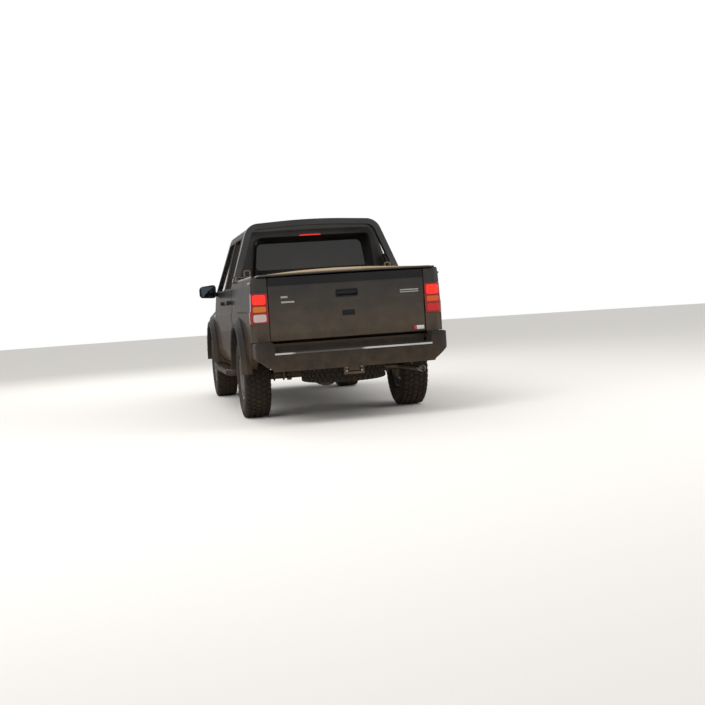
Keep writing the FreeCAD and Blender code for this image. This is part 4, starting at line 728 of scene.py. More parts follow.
cover = tonneauGrid(0)
sheet = putMesh("tonneauSheet", [slab(cover, tonneauGrid(-tonneau["thick"]))], "blackVinyl", sharp=60)
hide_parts("tonneau_cover")
hemLine = edgeOf(cover)[::2] - [0, 0, 0.004]
hem = putMesh("tonneauHem", [sweep(circle(tonneau["hemRadius"], 8), hemLine, closed=True)], "doorRubber",
              sharp=60)
seams = []
for y in tonneau["seams"]:
    column = round((y / tonneau["half"] + 1) / 2 * (tonneau["cols"] - 1))
    seams.append(sweep(dome(0.006, 0.0014, 6), cover[3:-3, column] - [0, 0, 0.0002]))
seam = putMesh("tonneauSeams", seams, "blackVinyl", sharp=60)

# Tie-down knobs under the cover's rails, and the cap along the tailgate's top
knob = {"x": [-2.340, -2.245], "z": 1.240,
        "profile": [(0, 0.011), (0.003, 0.011), (0.0035, 0.006), (0.008, 0.0055), (0.009, 0.0105),
                    (0.0125, 0.0095), (0.0145, 0.005)]}
bedSide = surfaceOf("bed")
knobs = []
for side in (1, -1):
    spots = laidOn(bedSide, [(x, side * 0.83, knob["z"]) for x in knob["x"]], (0, -side, 0))
    knobs += [lathe(knob["profile"], spot, (0, side, 0), 20) for spot in spots]
putMesh("coverKnobs", knobs, "zincSteel")
cap = {"x": -2.3455, "z": 1.275, "half": 0.686,
       # forward and up, round the cap's section
       "section": [(-0.0335, -0.068), (-0.0335, 0.0), (-0.030, 0.0035), (0.026, 0.0035), (0.0295, 0.0),
                   (0.0295, -0.020), (0.0275, -0.020), (0.0268, -0.0008), (-0.0305, -0.0008),
                   (-0.0285, -0.068)]}
capRows = [[(cap["x"] + a, y, cap["z"] + b) for a, b in cap["section"]]
           for y in np.linspace(-cap["half"], cap["half"], 9)]
putMesh("tailgateCap", [skin(capRows)], "blackPlastic", "tailgate")

# Tailgate: lock plate, blank badge bars and a blank sticker
gate = {"lockPlate": (-2.3608, -0.008, 0.940), "lockHalf": (0.056, 0.024),
        "cylinder": (-2.3618, 0.018, 0.940),
        "cylinderProfile": [(0, 0.0105), (0.0065, 0.0105), (0.0075, 0.0095), (0.0078, 0.0)],
        "sticker": (-2.3648, -0.634, 0.766), "stickerHalf": (0.046, 0.017), "barX": -2.3706,
        # badge bars: y, z, half width, half height
        "bars": [(0.553, 1.106, 0.030, 0.0085), (0.523, 1.062, 0.058, 0.0080), (-0.560, 1.104, 0.084, 0.0055),
                 (-0.560, 1.086, 0.084, 0.0045)]}
putMesh("tailgateLock", [plate(gate["lockPlate"], *facingBack, gate["lockHalf"], 0.008, 0.0045),
                         lathe(gate["cylinderProfile"], gate["cylinder"], (-1, 0, 0), 24)],
        "blackPlastic", "tailgate")
putMesh("blankBadges", [plate((gate["barX"], y, z), *facingBack, half, 0.003, 0.0032)
                        for y, z, *half in gate["bars"]], "zincSteel", "tailgate")
putMesh("blankSticker", [plate(gate["sticker"], *facingBack, gate["stickerHalf"], 0.004, 0.0012, 0.0004)],
        "printedFilm", "tailgate")

# Rear bumper: ribbed rubber pads on its steps, a bridge plate to the tailgate, bolts and the hitch bracket
stepPad = {"ribs": 11, "height": 0.005, "groove": 0.55,
           # each pad: x from and to, y from and to, height of its body and of its foot
           "pads": [((-2.548, -2.392), (-0.655, 0.655), 0.6405, 0.6401),
                    ((-2.520, -2.400), (0.707, 0.817), 0.7245, 0.7238),
                    ((-2.520, -2.400), (-0.817, -0.707), 0.7245, 0.7238)]}
# Bent plates, each bend as blocks: middles and half sizes
bridge = ([(-2.372, 0, 0.6375), (-2.345, 0, 0.660)], [(0.0225, 0.676, 0.0025), (0.0025, 0.676, 0.024)])
hitch = {"plates": ([(-2.470, 0.0, 0.455), (-2.440, 0.0, 0.433)],
                    [(0.006, 0.090, 0.048), (0.036, 0.060, 0.006)]),
         "cheeks": ([(-2.440, 0.052, 0.456), (-2.440, -0.052, 0.456)], (0.036, 0.005, 0.028)),
         "boltX": -2.476, "boltY": (-0.066, 0.066), "boltZ": (0.437, 0.470)}


def ribbedPad(x, y, z, foot):
    # A slab whose top steps between full height on the ribs and a share of it in the grooves, along X.
    along = np.linspace(*x, stepPad["ribs"] * 4 + 1)
    ribs = np.arange(len(along)) % 4 < 2
    rise = stepPad["height"] * (stepPad["groove"] + (1 - stepPad["groove"]) * ribs)
    rise[[0, -1]] = 0
    top = np.stack(np.broadcast_arrays(along[None], np.linspace(*y, 3)[:, None], z + rise[None]), -1)
    return slab(top, np.stack([top[..., 0], top[..., 1], np.full(top.shape[:2], foot)], -1))


putMesh("stepPads", [ribbedPad(*pad) for pad in stepPad["pads"]], "doorRubber")
putMesh("stepBridge", [blocks(*bridge, 0.001)], "blackPlastic")
putMesh("hitchBracket", [blocks(*hitch["plates"], 0.002), blocks(*hitch["cheeks"], 0.0015)], "chassisEnamel")
putMesh("hitchBolts", bolts([(hitch["boltX"], y, z) for y in hitch["boltY"] for z in hitch["boltZ"]],
                            (-1, 0, 0), 0.011, 0.009), "zincSteel")

# Sports bar: foot brackets with bolts, a web between each foot and the cab, and a stirrup beside it
bar = {"y": 0.8185,
       # plates of the left foot: x, z, half sizes, tilt about Y
       "plates": [(-1.0302, 1.322, (0.0025, 0.021, 0.030), 13), (-1.060, 1.2930, (0.026, 0.021, 0.0025), 0)],
       # bolts: x and z, the way they point, radius and height
       "bolts": [([(-1.0350, 1.314), (-1.0300, 1.336)], (-1, 0, 0.23), 0.0065, 0.005),
                 ([(-1.068, 1.2955)], (0, 0, 1), 0.0075, 0.006)],
       "web": (-0.7760, 0.7775, 1.398), "webHalf": (0.0330, 0.0150, 0.1120), "webLean": 20.6,
       # y and z of the stirrup's rod, and the block it stands on
       "hoop": ((0.680, 1.334), (0.677, 1.385), (0.688, 1.398), (0.722, 1.398), (0.733, 1.385),
                (0.730, 1.334)),
       "hoopX": -1.046, "hoopFoot": (0.745, 1.338), "hoopFootHalf": (0.012, 0.050, 0.004)}
brackets, footBolts, webs, stirrups = [], [], [], []
for side in (1, -1):
    y = side * bar["y"]
    brackets += [blocks([(x, y, z)], half, 0.0008, turnAbout("Y", tilt))
                 for x, z, half, tilt in bar["plates"]]
    for places, way, radius, height in bar["bolts"]:
        footBolts += bolts([(x, y, z) for x, z in places], way, radius, height)
    webs.append(blocks(np.array(bar["web"]) * [1, side, 1], bar["webHalf"], 0.004,
                       turnAbout("X", side * bar["webLean"])))
    hoop = smoothPath([(bar["hoopX"], side * y, z) for y, z in bar["hoop"]], 40)
    footY, footZ = bar["hoopFoot"]
    stirrups += [sweep(roundRect(0.007, 0.006, 0.002), hoop, (1, 0, 0)),
                 blocks([(bar["hoopX"], side * footY, footZ)], bar["hoopFootHalf"], 0.0015)]
putMesh("barBrackets", brackets, "powderCoat")
putMesh("barWebs", webs, "powderCoat")
putMesh("barStirrups", stirrups, "exhaustSteel", sharp=40)
putMesh("barBolts", footBolts, "zincSteel")

# Wheel-arch flares: domed screws round each
screw = {"circle": 0.503, "y": 0.9065, "angles": np.radians(np.arange(20, 161, 20)),
         "profile": [(0, 0.0085), (0.002, 0.0085), (0.0042, 0.0060), (0.0050, 0.0025), (0.0051, 0.0)]}
screws = []
for x in (truck["frontAxle"], truck["rearAxle"]):
    for turn in screw["angles"]:
        ahead, up = screw["circle"] * math.cos(turn), screw["circle"] * math.sin(turn)
        screws += [lathe(screw["profile"], (x + ahead, side * screw["y"], truck["axleZ"] + up),
                         (0, side, 0), 12) for side in (1, -1)]
putMesh("flareScrews", screws, "blackPlastic")

# Side steps: ribbed rubber treads
step = {"padX": (0.50, -0.10), "y": 0.898, "padZ": 0.4215, "padHalf": (0.235, 0.027), "ribZ": 0.4272,
        "ribs": 15, "ribReach": 0.21, "ribHalf": (0.004, 0.022, 0.0022)}
treads = []
for side in (1, -1):
    for x in step["padX"]:
        treads.append(plate((x, side * step["y"], step["padZ"]), *lyingFlat, step["padHalf"], 0.010, 0.0050))
        treads.append(blocks([(x + rib, side * step["y"], step["ribZ"])
                              for rib in np.linspace(-step["ribReach"], step["ribReach"], step["ribs"])],
                             step["ribHalf"], 0.001))
putMesh("stepTreads", treads, "doorRubber")

# Mirrors: glass in a bevelled recess
mirrorBack = boxOf("mirror_left")[0][0]
mirror = {"y": 0.9425, "z": 1.2585, "rimX": mirrorBack + 0.0002, "rimHalf": (0.0800, 0.0610),
          "glassX": mirrorBack - 0.0025, "glassHalf": (0.0745, 0.0555)}
for hand, side in hands.items():
    rim, glass = ((mirror[x], side * mirror["y"], mirror["z"]) for x in ("rimX", "glassX"))
    putMesh("mirrorRim_" + hand, [plate(rim, *facingBack, mirror["rimHalf"], 0.020, 0.0030)], "blackPlastic",
            "door_front_" + hand)
    putMesh("mirrorGlass_" + hand, [plate(glass, *facingBack, mirror["glassHalf"], 0.017, 0.0022, 0.0008)],
            "mirrorGlass", "door_front_" + hand)

# Window seals: rubber beads laid round each opening
doorWindows = {"door_front": [(0.089, 1.237), (0.089, 1.747), (0.5705, 1.747), (1.0135, 1.237)],
               "door_rear": [(-0.591, 1.237), (-0.591, 1.747), (-0.016, 1.747), (-0.016, 1.237)]}
for name, corners in doorWindows.items():
    for hand, side in hands.items():
        flat = loopOf(corners, 0.035, 150)
        path = np.stack([flat[:, 0], side * (sideY(flat[:, 1]) - 0.0006), flat[:, 1]], -1)
        putMesh("windowSeal_" + name + "_" + hand, [sweep(dome(0.008, 0.0035), path, (0, side, 0), True)],
                "doorRubber", name + "_" + hand, 50)
# Screens: corners, the way that the bead is laid, and where along X from
shell = surfaceOf("cab_shell")
screens = {"windscreenSeal": ([(0.712, 1.196), (0.590, 1.783), (-0.590, 1.783), (-0.712, 1.196)], -1, 1.0),
           "rearScreenSeal": ([(0.621, 1.269), (0.570, 1.726), (-0.570, 1.726), (-0.621, 1.269)], 1, -0.7)}
for name, (corners, way, x) in screens.items():
    path = laidOn(shell, [(x, y, z) for y, z in loopOf(corners, 0.06, 220)], (way, 0, 0))
    putMesh(name, [sweep(dome(0.011, 0.0035), path, (-way, 0, 0.4), True)], "doorRubber", sharp=50)

# Rear screen: printed black band round its edge, deep along its foot
glassFace = surfaceOf("cab_glass")
bandLines = [loopOf([(0.618, 1.272), (0.568, 1.722), (-0.568, 1.722), (-0.618, 1.272)], 0.06, 160),
             loopOf([(0.575, 1.405), (0.540, 1.700), (-0.540, 1.700), (-0.575, 1.405)], 0.05, 160)]
outer, inner = (laidOn(glassFace, [(-0.9, y, z) for y, z in line], (1, 0, 0), 0.0008) for line in bandLines)
film = np.array([0.0006, 0, 0])
putMesh("rearScreenBand", [skin([outer, inner, inner + film, outer + film], True)], "doorRubber", sharp=60)

# Roof: ditch strips each side
strip = {"y": 0.585, "x": (-0.60, 0.55), "half": 0.008, "height": 0.0030}
stripLines = [laidOn(shell, [(x, side * strip["y"], 1.85) for x in np.linspace(*strip["x"], 50)], (0, 0, -1))
              for side in (1, -1)]
putMesh("roofStrips", [sweep(dome(strip["half"], strip["height"]), line) for line in stripLines],
        "doorRubber", sharp=40)

# Door locks, fuel flap and side repeaters
lock = {"x": 0.312, "z": 1.105, "profile": [(0, 0.0125), (0.0022, 0.0125), (0.0030, 0.0115), (0.0030, 0.0090),
                                            (0.0018, 0.0085), (0.0018, 0.0)]}
for hand, side in hands.items():
    spot = laidOn(surfaceOf("door_front_" + hand), [(lock["x"], side * 0.8, lock["z"])], (0, -side, 0))[0]
    putMesh("doorLock_" + hand, [lathe(lock["profile"], spot, (0, side, 0), 28)], "zincSteel",
            "door_front_" + hand)
flap = {"place": (-1.985, -0.8415, 1.085), "half": (0.078, 0.078), "upright": (0, 0.0078, 0.17)}
putMesh("fuelFlap", [plate(flap["place"], (1, 0, 0), flap["upright"], flap["half"], 0.018, 0.0022, 0.0012)],
        "graphiteLacquer")
repeater = {"place": np.array([1.225, 0.8530, 0.975]), "half": (0.034, 0.013)}
putMesh("sideRepeaters", [plate(repeater["place"] * [1, side, 1], (-side, 0, 0), (0, 0, 1), repeater["half"],
                                0.012, 0.008, 0.004) for side in (1, -1)], "amberAcrylic", sharp=50)
print("outside pieces made")

# Wheels: machined lip, ribs beside the windows, nuts, hub cap and valve, all on the rim's outer face
wheelTrim = {
    "face": 0.058, "nutCircle": 0.051, "valveCircle": 0.176,
    # profiles: distance outwards from the wheel's middle plane, and radius
    "rings": [[(0.0985, 0.2000), (0.1035, 0.1985), (0.1048, 0.2035), (0.1048, 0.2095), (0.1030, 0.2125),
               (0.0990, 0.2125)],
              [(0.0570, 0.1880), (0.0605, 0.1875), (0.0640, 0.1905), (0.0640, 0.1915), (0.0570, 0.1920)],
              [(0.0570, 0.0930), (0.0600, 0.0940), (0.0605, 0.0965), (0.0600, 0.0990), (0.0570, 0.1000)]],
    "ringSides": (64, 64, 48),
    "cap": [(0.070, 0.0330), (0.0790, 0.0320), (0.0830, 0.0290), (0.0850, 0.0240), (0.0852, 0.0200),
            (0.0835, 0.0190), (0.0835, 0.0)],
    "seat": [(0.070, 0.0125), (0.0725, 0.0135), (0.0730, 0.0120)],
    "nut": [(0.071, 0.0095), (0.0850, 0.0095), (0.0885, 0.0075), (0.0895, 0.0040)],
    "valve": [(0.056, 0.0050), (0.064, 0.0045), (0.066, 0.0030), (0.078, 0.0030), (0.079, 0.0040),
              (0.088, 0.0040), (0.089, 0.0030)],
}
for name, (centre, out, body) in tyres.items():
    centre, out = np.array(centre), np.array(out, float)
    trim = [lathe(ring, centre, out, sides, True)
            for ring, sides in zip(wheelTrim["rings"], wheelTrim["ringSides"])]
    for angle in np.arange(6) * 60 + 30:
        for offset in (-0.0125, 0.0125):
            start, end = (turnAbout("Y", angle) @ np.array([offset * spread, 0, radius])
                          for spread, radius in ((0.8, 0.100), (1.5, 0.184)))
            path = np.linspace(start, end, 6) + centre + out * wheelTrim["face"]
            trim.append(sweep(dome(0.0070, 0.0075, 7), path, out))
    spots = [centre + turnAbout("Y", angle) @ np.array([0, 0, wheelTrim["nutCircle"]])
             for angle in np.arange(6) * 60]
    trim += [lathe(wheelTrim["seat"], spot, out, 20) for spot in spots]
    valveAt = centre + turnAbout("Y", 15) @ np.array([0, 0, wheelTrim["valveCircle"]])
    putMesh("wheelRibs_" + name, trim, "wheelAlloy", body, 35)
    putMesh("hubCap_" + name, [lathe(wheelTrim["cap"], centre, out, 40)], "brushedAluminium", body)
    putMesh("wheelNuts_" + name, [lathe(wheelTrim["nut"], spot, out, 6) for spot in spots], "zincSteel", body)
    putMesh("tyreValve_" + name, [lathe(wheelTrim["valve"], valveAt, out, 12)], "doorRubber", body)
print("wheel trim made")

# Seats: padded by vertex modelling, with sewn channels, bolsters and piping, on plastic bases
driverY = boxOf("steering_wheel").mean(0)[1]
seat = {
    # each: place along X and Y, half width, places of the sewn seams and of the headrests across it
    "rows": {"leftSeat": (0.040, -driverY, 0.250, (-0.150, 0.150), (0,)),
             "rightSeat": (0.040, driverY, 0.250, (-0.150, 0.150), (0,)),
             "rearBench": (-0.455, 0.0, 0.635, (-0.42, -0.19, 0.19, 0.42), (-0.40, 0.0, 0.40))},
    "lean": unit((-0.19, 0, 0.98)), "slope": (1, 0, 0.06),
    # padded parts: x from the seat's place, middle height, thickness, crown and pull
    "cushion": (0.235, 0.790, 0.066, 0.010, 0.012), "cushionLong": 0.243, "cushionBolster": 0.016,
    "cushionSeams": [(1, 0.06, 0.009, 0.008)],
    "backSeams": [(1, -0.05, 0.008, 0.008), (1, 0.12, 0.008, 0.008)],
    "back": (-0.062, 1.030, 0.052, 0.008, 0.016), "backTall": 0.292, "backBolster": 0.018,
    "rest": (-0.118, 1.408, 0.036, 0.010, 0.03), "restHalf": (0.112, 0.070),
    "restSeams": [(1, 0.0, 0.004, 0.006)], "piping": circle(0.0032, 6), "postFoot": (-0.098, 1.285),
    "postTop": (-0.110, 1.350), "postY": (-0.045, 0.045),
    # base and its rails: x from the seat's place, height
    "base": (0.235, 0.672), "rails": (0.230, 0.617),
}
for name, (x, y, half, sewn, headrests) in seat["rows"].items():
    ahead, z, *padding = seat["cushion"]
    cushionSewn = seat["cushionSeams"] + [(0, at, 0.010, 0.008) for at in sewn]
    cushion, cushionRim = pillow((x + ahead, y, z), (0, -1, 0), seat["slope"],
                                 (half - 0.006, seat["cushionLong"]), *padding, cushionSewn,
                                 seat["cushionBolster"])
    ahead, z, *padding = seat["back"]
    back, backRim = pillow((x + ahead, y, z), (0, 1, 0), seat["lean"], (half - 0.008, seat["backTall"]),
                           *padding, seat["backSeams"] + [(0, at, 0.009, 0.008) for at in sewn],
                           seat["backBolster"])
    ahead, z, *padding = seat["rest"]
    rests = [pillow((x + ahead, y + rest, z), (0, 1, 0), seat["lean"], seat["restHalf"], *padding,
                    seat["restSeams"], 0.0, (26, 26))[0] for rest in headrests]
    for part, shapes in (("Cushion", [cushion]), ("Backrest", [back]), ("Headrests", rests)):
        piece = putMesh(name + part, shapes, "seatCloth", sharp=60)
        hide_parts("seats")
    putMesh(name + "Piping", [sweep(seat["piping"], cushionRim, closed=True),
                              sweep(seat["piping"], backRim, (1, 0, 0.2), True)], "trimPlastic", sharp=60)
    (footX, footZ), (topX, topZ) = seat["postFoot"], seat["postTop"]
    posts = [y + rest + post for rest in headrests for post in seat["postY"]]
    putMesh(name + "Posts", [rod((x + footX, at, footZ), (x + topX, at, topZ), 0.0055) for at in posts],
            "chromePlate")
    (baseX, baseZ), (railX, railZ) = seat["base"], seat["rails"]
    putMesh(name + "Base", [blocks([(x + baseX, y, baseZ)], (0.185, half - 0.055, 0.050), 0.010),
                            blocks([(x + railX, y + rail, railZ) for rail in (-half + 0.075, half - 0.075)],
                                   (0.200, 0.016, 0.0065), 0.002)], "trimPlastic")
print("seats made")

# Seat belts: flat webbing from each B-pillar down to the seat, with a buckle
belt = {"line": [(0.036, 0.738, 1.52), (0.020, 0.730, 1.20), (0.030, 0.725, 0.90), (0.060, 0.700, 0.66)],
        "halfThick": 0.0006, "halfWidth": 0.023, "buckles": [(0.205, 0.095, 0.850), (0.205, -0.095, 0.850)],
        "buckleHalf": (0.012, 0.010, 0.045)}
putMesh("seatBelts", [sweep(ribbon(belt["halfThick"], belt["halfWidth"]),
                            smoothPath([(x, side * y, z) for x, y, z in belt["line"]], 30), (1, 0, 0.01))
                      for side in (1, -1)], "beltWebbing", sharp=60)
putMesh("beltBuckles", [blocks(belt["buckles"], belt["buckleHalf"], 0.003)], "trimPlastic")

# Headliner, sun visors and the inner mirror
overhead = {"x": (-0.60, 0.60), "y": (-0.50, 0.50), "thick": 0.006, "visor": np.array([0.640, 0.330, 1.752]),
            "visorHalf": (0.075, 0.165), "mirror": (0.735, 0.0, 1.690), "mirrorHalf": (0.110, 0.030),
            "mirrorUp": (0.12, 0, 1), "glass": (0.7245, 0, 1.690), "glassHalf": (0.100, 0.023),
            "stem": ((0.742, 0, 1.712), (0.792, 0, 1.735))}
gridX, gridY = np.meshgrid(np.linspace(*overhead["x"], 26), np.linspace(*overhead["y"], 22), indexing="ij")
grid = np.stack([gridX, gridY, np.full_like(gridX, 1.50)], -1)
ceiling = laidOn(shell, grid.reshape(-1, 3), (0, 0, 1), 0.003).reshape(grid.shape)
putMesh("headliner", [slab(ceiling, ceiling - [0, 0, overhead["thick"]])], "headliner", sharp=40)
putMesh("sunVisors", [pillow(overhead["visor"] * [1, side, 1], (1, 0, -0.12), (0, 1, 0),
                             overhead["visorHalf"], 0.007, 0.002, 0.01, count=(18, 18))[0]
                      for side in (1, -1)], "headliner", sharp=60)
putMesh("innerMirror", [pillow(overhead["mirror"], (0, 1, 0), overhead["mirrorUp"], overhead["mirrorHalf"],
                               0.010, 0.002, 0.01, count=(18, 14))[0], rod(*overhead["stem"], 0.006)],
        "trimPlastic", sharp=40)
putMesh("innerMirrorGlass", [plate(overhead["glass"], (0, -1, 0), overhead["mirrorUp"], overhead["glassHalf"],
                                   0.012, 0.0015, 0.0005)], "silvered")

# Dashboard: instrument hood with two dials, vents, centre stack, glovebox lid
dash = {"hoodZ": 1.098, "hoodX": (0.800, 0.860, 0.940, 1.010), "hoodRadii": (0.115, 0.104),
        "dialX": 0.868, "dialY": (-0.312, -0.428), "dialZ": 1.112, "dialRadius": 0.047,
        "dialOut": unit((-1, 0, 0.25)), "ticks": 14, "tickRadius": 0.040, "panel": ((0, -1, 0), (0.10, 0, 1)),
        # y and z of the middle vent, heater panel, left and right vent and glovebox, and half sizes
        "places": ((0.0, 1.035), (0.0, 0.955), (0.52, 1.04), (-0.56, 1.04), (0.34, 0.965)),
        "ventHalves": ((0.125, 0.030), (0.058, 0.028), (0.036, 0.028)), "heaterHalf": (0.100, 0.036),
        "gloveHalf": (0.190, 0.055), "knobY": (-0.062, 0.0, 0.062),
        "knob": [(0, 0.0165), (0.010, 0.0155), (0.0145, 0.0140), (0.0150, 0.0)]}
arc = np.linspace(0, np.pi, 20)
hoodTop, hoodUnder = (np.stack([np.stack([np.full(20, x), driverY + r * 1.45 * np.cos(arc),
                                          dash["hoodZ"] - 0.10 * (x - 0.83) + r * 0.62 * np.sin(arc)], -1)
                                for x in dash["hoodX"]]) for r in dash["hoodRadii"])
putMesh("instrumentHood", [slab(hoodTop, hoodUnder)], "trimPlastic", sharp=40)
dials, ticks, rings = [], [], []
across, up, out = np.array([0, -1.0, 0]), unit((0.25, 0, 1)), dash["dialOut"]
turn = np.radians(np.linspace(-40, 220, dash["ticks"]))
spokes = np.cos(turn)[:, None] * across + np.sin(turn)[:, None] * up
tangents = np.cos(turn)[:, None] * up - np.sin(turn)[:, None] * across
tickTurns = np.stack([spokes, tangents, np.broadcast_to(out, spokes.shape)], -1)
r = dash["dialRadius"]
for y in dash["dialY"]:
    centre = np.array([dash["dialX"], y, dash["dialZ"]])
    dials.append(lathe([(0, r), (0.002, r), (0.002, 0.0)], centre, out, 40))
    rings.append(lathe([(0.0, r), (0.006, r), (0.006, r + 0.003), (0.0, r + 0.003)], centre, out, 40, True))
    tickAt = centre + out * 0.0024 + dash["tickRadius"] * spokes
    ticks += [blocks(tickAt, (0.0040, 0.0008, 0.0003), 0.0001, tickTurns),
              blocks([centre + out * 0.0030 + up * 0.012], (0.0009, 0.0200, 0.0004), 0.0002,
                     [np.stack([across, up, out], -1)])]
putMesh("dialFaces", dials, "doorRubber")
putMesh("dialTicks", ticks, "whiteInk")
putMesh("dialRings", rings, "chromePlate")
# The middle of each panel on the dashboard's face
spots = laidOn(surfaceOf("dashboard"), [(0.5, y, z) for y, z in dash["places"]], (1, 0, 0))
middleVent, heater, leftVent, rightVent, glovebox = spots
panels, slats = [], []
for centre, half in zip((middleVent, leftVent, rightVent), dash["ventHalves"]):
    panels.append(plate(centre + [0.006, 0, 0], *dash["panel"], half, 0.010, 0.012, 0.002))
    levels = np.linspace(-half[1] * 0.62, half[1] * 0.62, 5)
    slatHalf = (0.0015, half[0] - 0.010, 0.0028)
    slats.append(blocks([centre + [-0.0065, 0, h] for h in levels], slatHalf, 0.0008))
panels += [plate(heater + [0.006, 0, 0], *dash["panel"], dash["heaterHalf"], 0.006, 0.011, 0.002),
           plate(glovebox + [0.004, 0, 0], *dash["panel"], dash["gloveHalf"], 0.018, 0.007, 0.002)]
putMesh("dashPanels", panels, "trimPlastic", sharp=40)
putMesh("ventSlats", slats, "doorRubber")
putMesh("heaterKnobs", [lathe(dash["knob"], heater + [-0.004, y, -0.010], (-1, 0, 0.1), 28)
                        for y in dash["knobY"]], "doorRubber")

# Console, gear lever with its gaiter, handbrake, pedals and mats
console = {"body": (0.255, 0, 0.668), "bodyHalf": (0.245, 0.072, 0.057), "lid": (0.120, 0, 0.738),
           "lidHalf": (0.105, 0.066, 0.014)}
putMesh("console", [blocks([console["body"]], console["bodyHalf"], 0.012),
                    blocks([console["lid"]], console["lidHalf"], 0.008)], "trimPlastic", sharp=35)
lever = {"foot": np.array([0.770, 0.0, 0.690]), "axis": unit((-0.22, 0, 1)), "reaches": (0.06, 0.225, 0.245),
         "gaiter": [(0.0, 0.055), (0.010, 0.052), (0.016, 0.044), (0.030, 0.040), (0.036, 0.032),
                    (0.052, 0.028), (0.060, 0.018), (0.074, 0.013)]}
handbrake = {"stem": ((0.40, 0.045, 0.728), (0.235, 0.045, 0.778)),
             "grip": ((0.255, 0.045, 0.772), (0.170, 0.045, 0.798))}
start, grip, end = (lever["foot"] + lever["axis"] * reach for reach in lever["reaches"])
putMesh("gearGaiter", [lathe(lever["gaiter"], lever["foot"], lever["axis"], 32)], "blackVinyl", sharp=60)
putMesh("gearLever", [rod(start, grip, 0.0065), rod(*handbrake["stem"], 0.010)], "chromePlate")
ball = np.linspace(0.15, np.pi - 0.05, 12)
ballProfile = np.stack([-0.026 * np.cos(ball), 0.0235 * np.sin(ball)], -1)
putMesh("leverKnobs", [lathe(ballProfile, end, lever["axis"], 28), rod(*handbrake["grip"], 0.0155)],
        "doorRubber", sharp=50)
# Each pedal: y, height of its pad and of its arm's foot, half width, half height
pedals = ((-0.275, 0.735, 0.750, 0.022, 0.060), (-0.360, 0.760, 0.768, 0.034, 0.026),
          (-0.460, 0.760, 0.768, 0.034, 0.026))
putMesh("pedals", [plate((1.045, y, z), (0, -1, 0), (0.45, 0, 1), half, 0.006, 0.010, 0.002)
                   for y, z, foot, *half in pedals], "doorRubber")
putMesh("pedalArms", [rod((1.055, y, foot), (1.120, y, 0.930), 0.007) for y, z, foot, *half in pedals],
        "chassisEnamel")
mat = {"place": np.array([0.760, 0.400, 0.6105]), "half": (0.225, 0.185)}
putMesh("floorMats", [plate(mat["place"] * [1, side, 1], *lyingFlat, mat["half"], 0.040, 0.0080, 0.003)
                      for side in (1, -1)], "doorRubber")

# Door cards: trim panels with an arm rest, a pocket and a cloth inset, riding on each door
card = {"wall": 0.0605, "thick": 0.0105, "z": (0.565, 1.222), "armRest": 0.930, "armDepth": 0.036,
        "pocket": (0.600, 0.735), "pocketDepth": 0.018, "roll": 1.205, "rollDepth": 0.008,
        "clothZ": (0.985, 1.165), "clothSwell": 0.0045, "pullZ": 0.860, "pullHalf": (0.042, 0.016),
        # rear and front end, how far the cloth and the pull handle end before the front
        "doors": {"door_front": (0.100, 1.000, 0.22, 0.12), "door_rear": (-0.565, -0.030, 0.06, 0.10)}}


def panelPoints(x, y, z, side):
    # A grid from x along its columns, z along its rows and the distance y from the middle plane.
    return np.stack(np.broadcast_arrays(x, side * y, z), -1)


for name, (rear, front, clothEnd, pullEnd) in card["doors"].items():
    for hand, side in hands.items():
        # Depth = thickness + arm rest (a steep bump) + pocket below it, both faded to the ends, + top roll.
        z, x = np.linspace(*card["z"], 60)[:, None], np.linspace(rear, front, 40)[None]
        share = (x - rear) / (front - rear)
        fade = np.clip(np.minimum(share, 1 - share) / 0.16, 0, 1)
        fade = fade * fade * (3 - 2 * fade)
        low, high = card["pocket"]
        depth = card["thick"] + card["armDepth"] * np.exp(-((z - card["armRest"]) / 0.030) ** 4) * fade
        pocket = np.clip((high - z) / 0.02, 0, 1) * np.clip((z - low) / 0.02, 0, 1)
        depth = depth + card["pocketDepth"] * pocket * fade
        depth = depth + card["rollDepth"] * np.exp(-((z - card["roll"]) / 0.014) ** 2)
        wall = sideY(z) - card["wall"]
        body = name + "_" + hand
        putMesh("doorCard_" + body, [slab(panelPoints(x, wall - depth, z, side),
                                          panelPoints(x, wall, z, side))],
                "trimPlastic", body, 35)
        z, x = np.linspace(*card["clothZ"], 14)[:, None], np.linspace(rear + 0.06, front - clothEnd, 20)[None]
        face = sideY(z) - card["wall"] - card["thick"]
        swell = [np.sqrt(np.clip(1 - np.abs(np.linspace(-1, 1, n)) ** 6, 0, 1)) for n in (14, 20)]
        cushioned = card["clothSwell"] * swell[0][:, None] * swell[1][None]
        putMesh("doorCloth_" + body, [slab(panelPoints(x, face - 0.0006 - cushioned, z, side),
                                           panelPoints(x, face + 0.002, z, side))], "seatCloth", body, 50)
        level = sideY(card["pullZ"] + 0.012) - card["wall"] - card["thick"] + 0.001
        pull = plate((front - pullEnd, side * level, card["pullZ"]), (side, 0, 0), (0, 0, 1),
                     card["pullHalf"], 0.010, 0.006, 0.002)
        putMesh("doorPull_" + body, [pull], "brushedAluminium", body)
print("cab inside made")

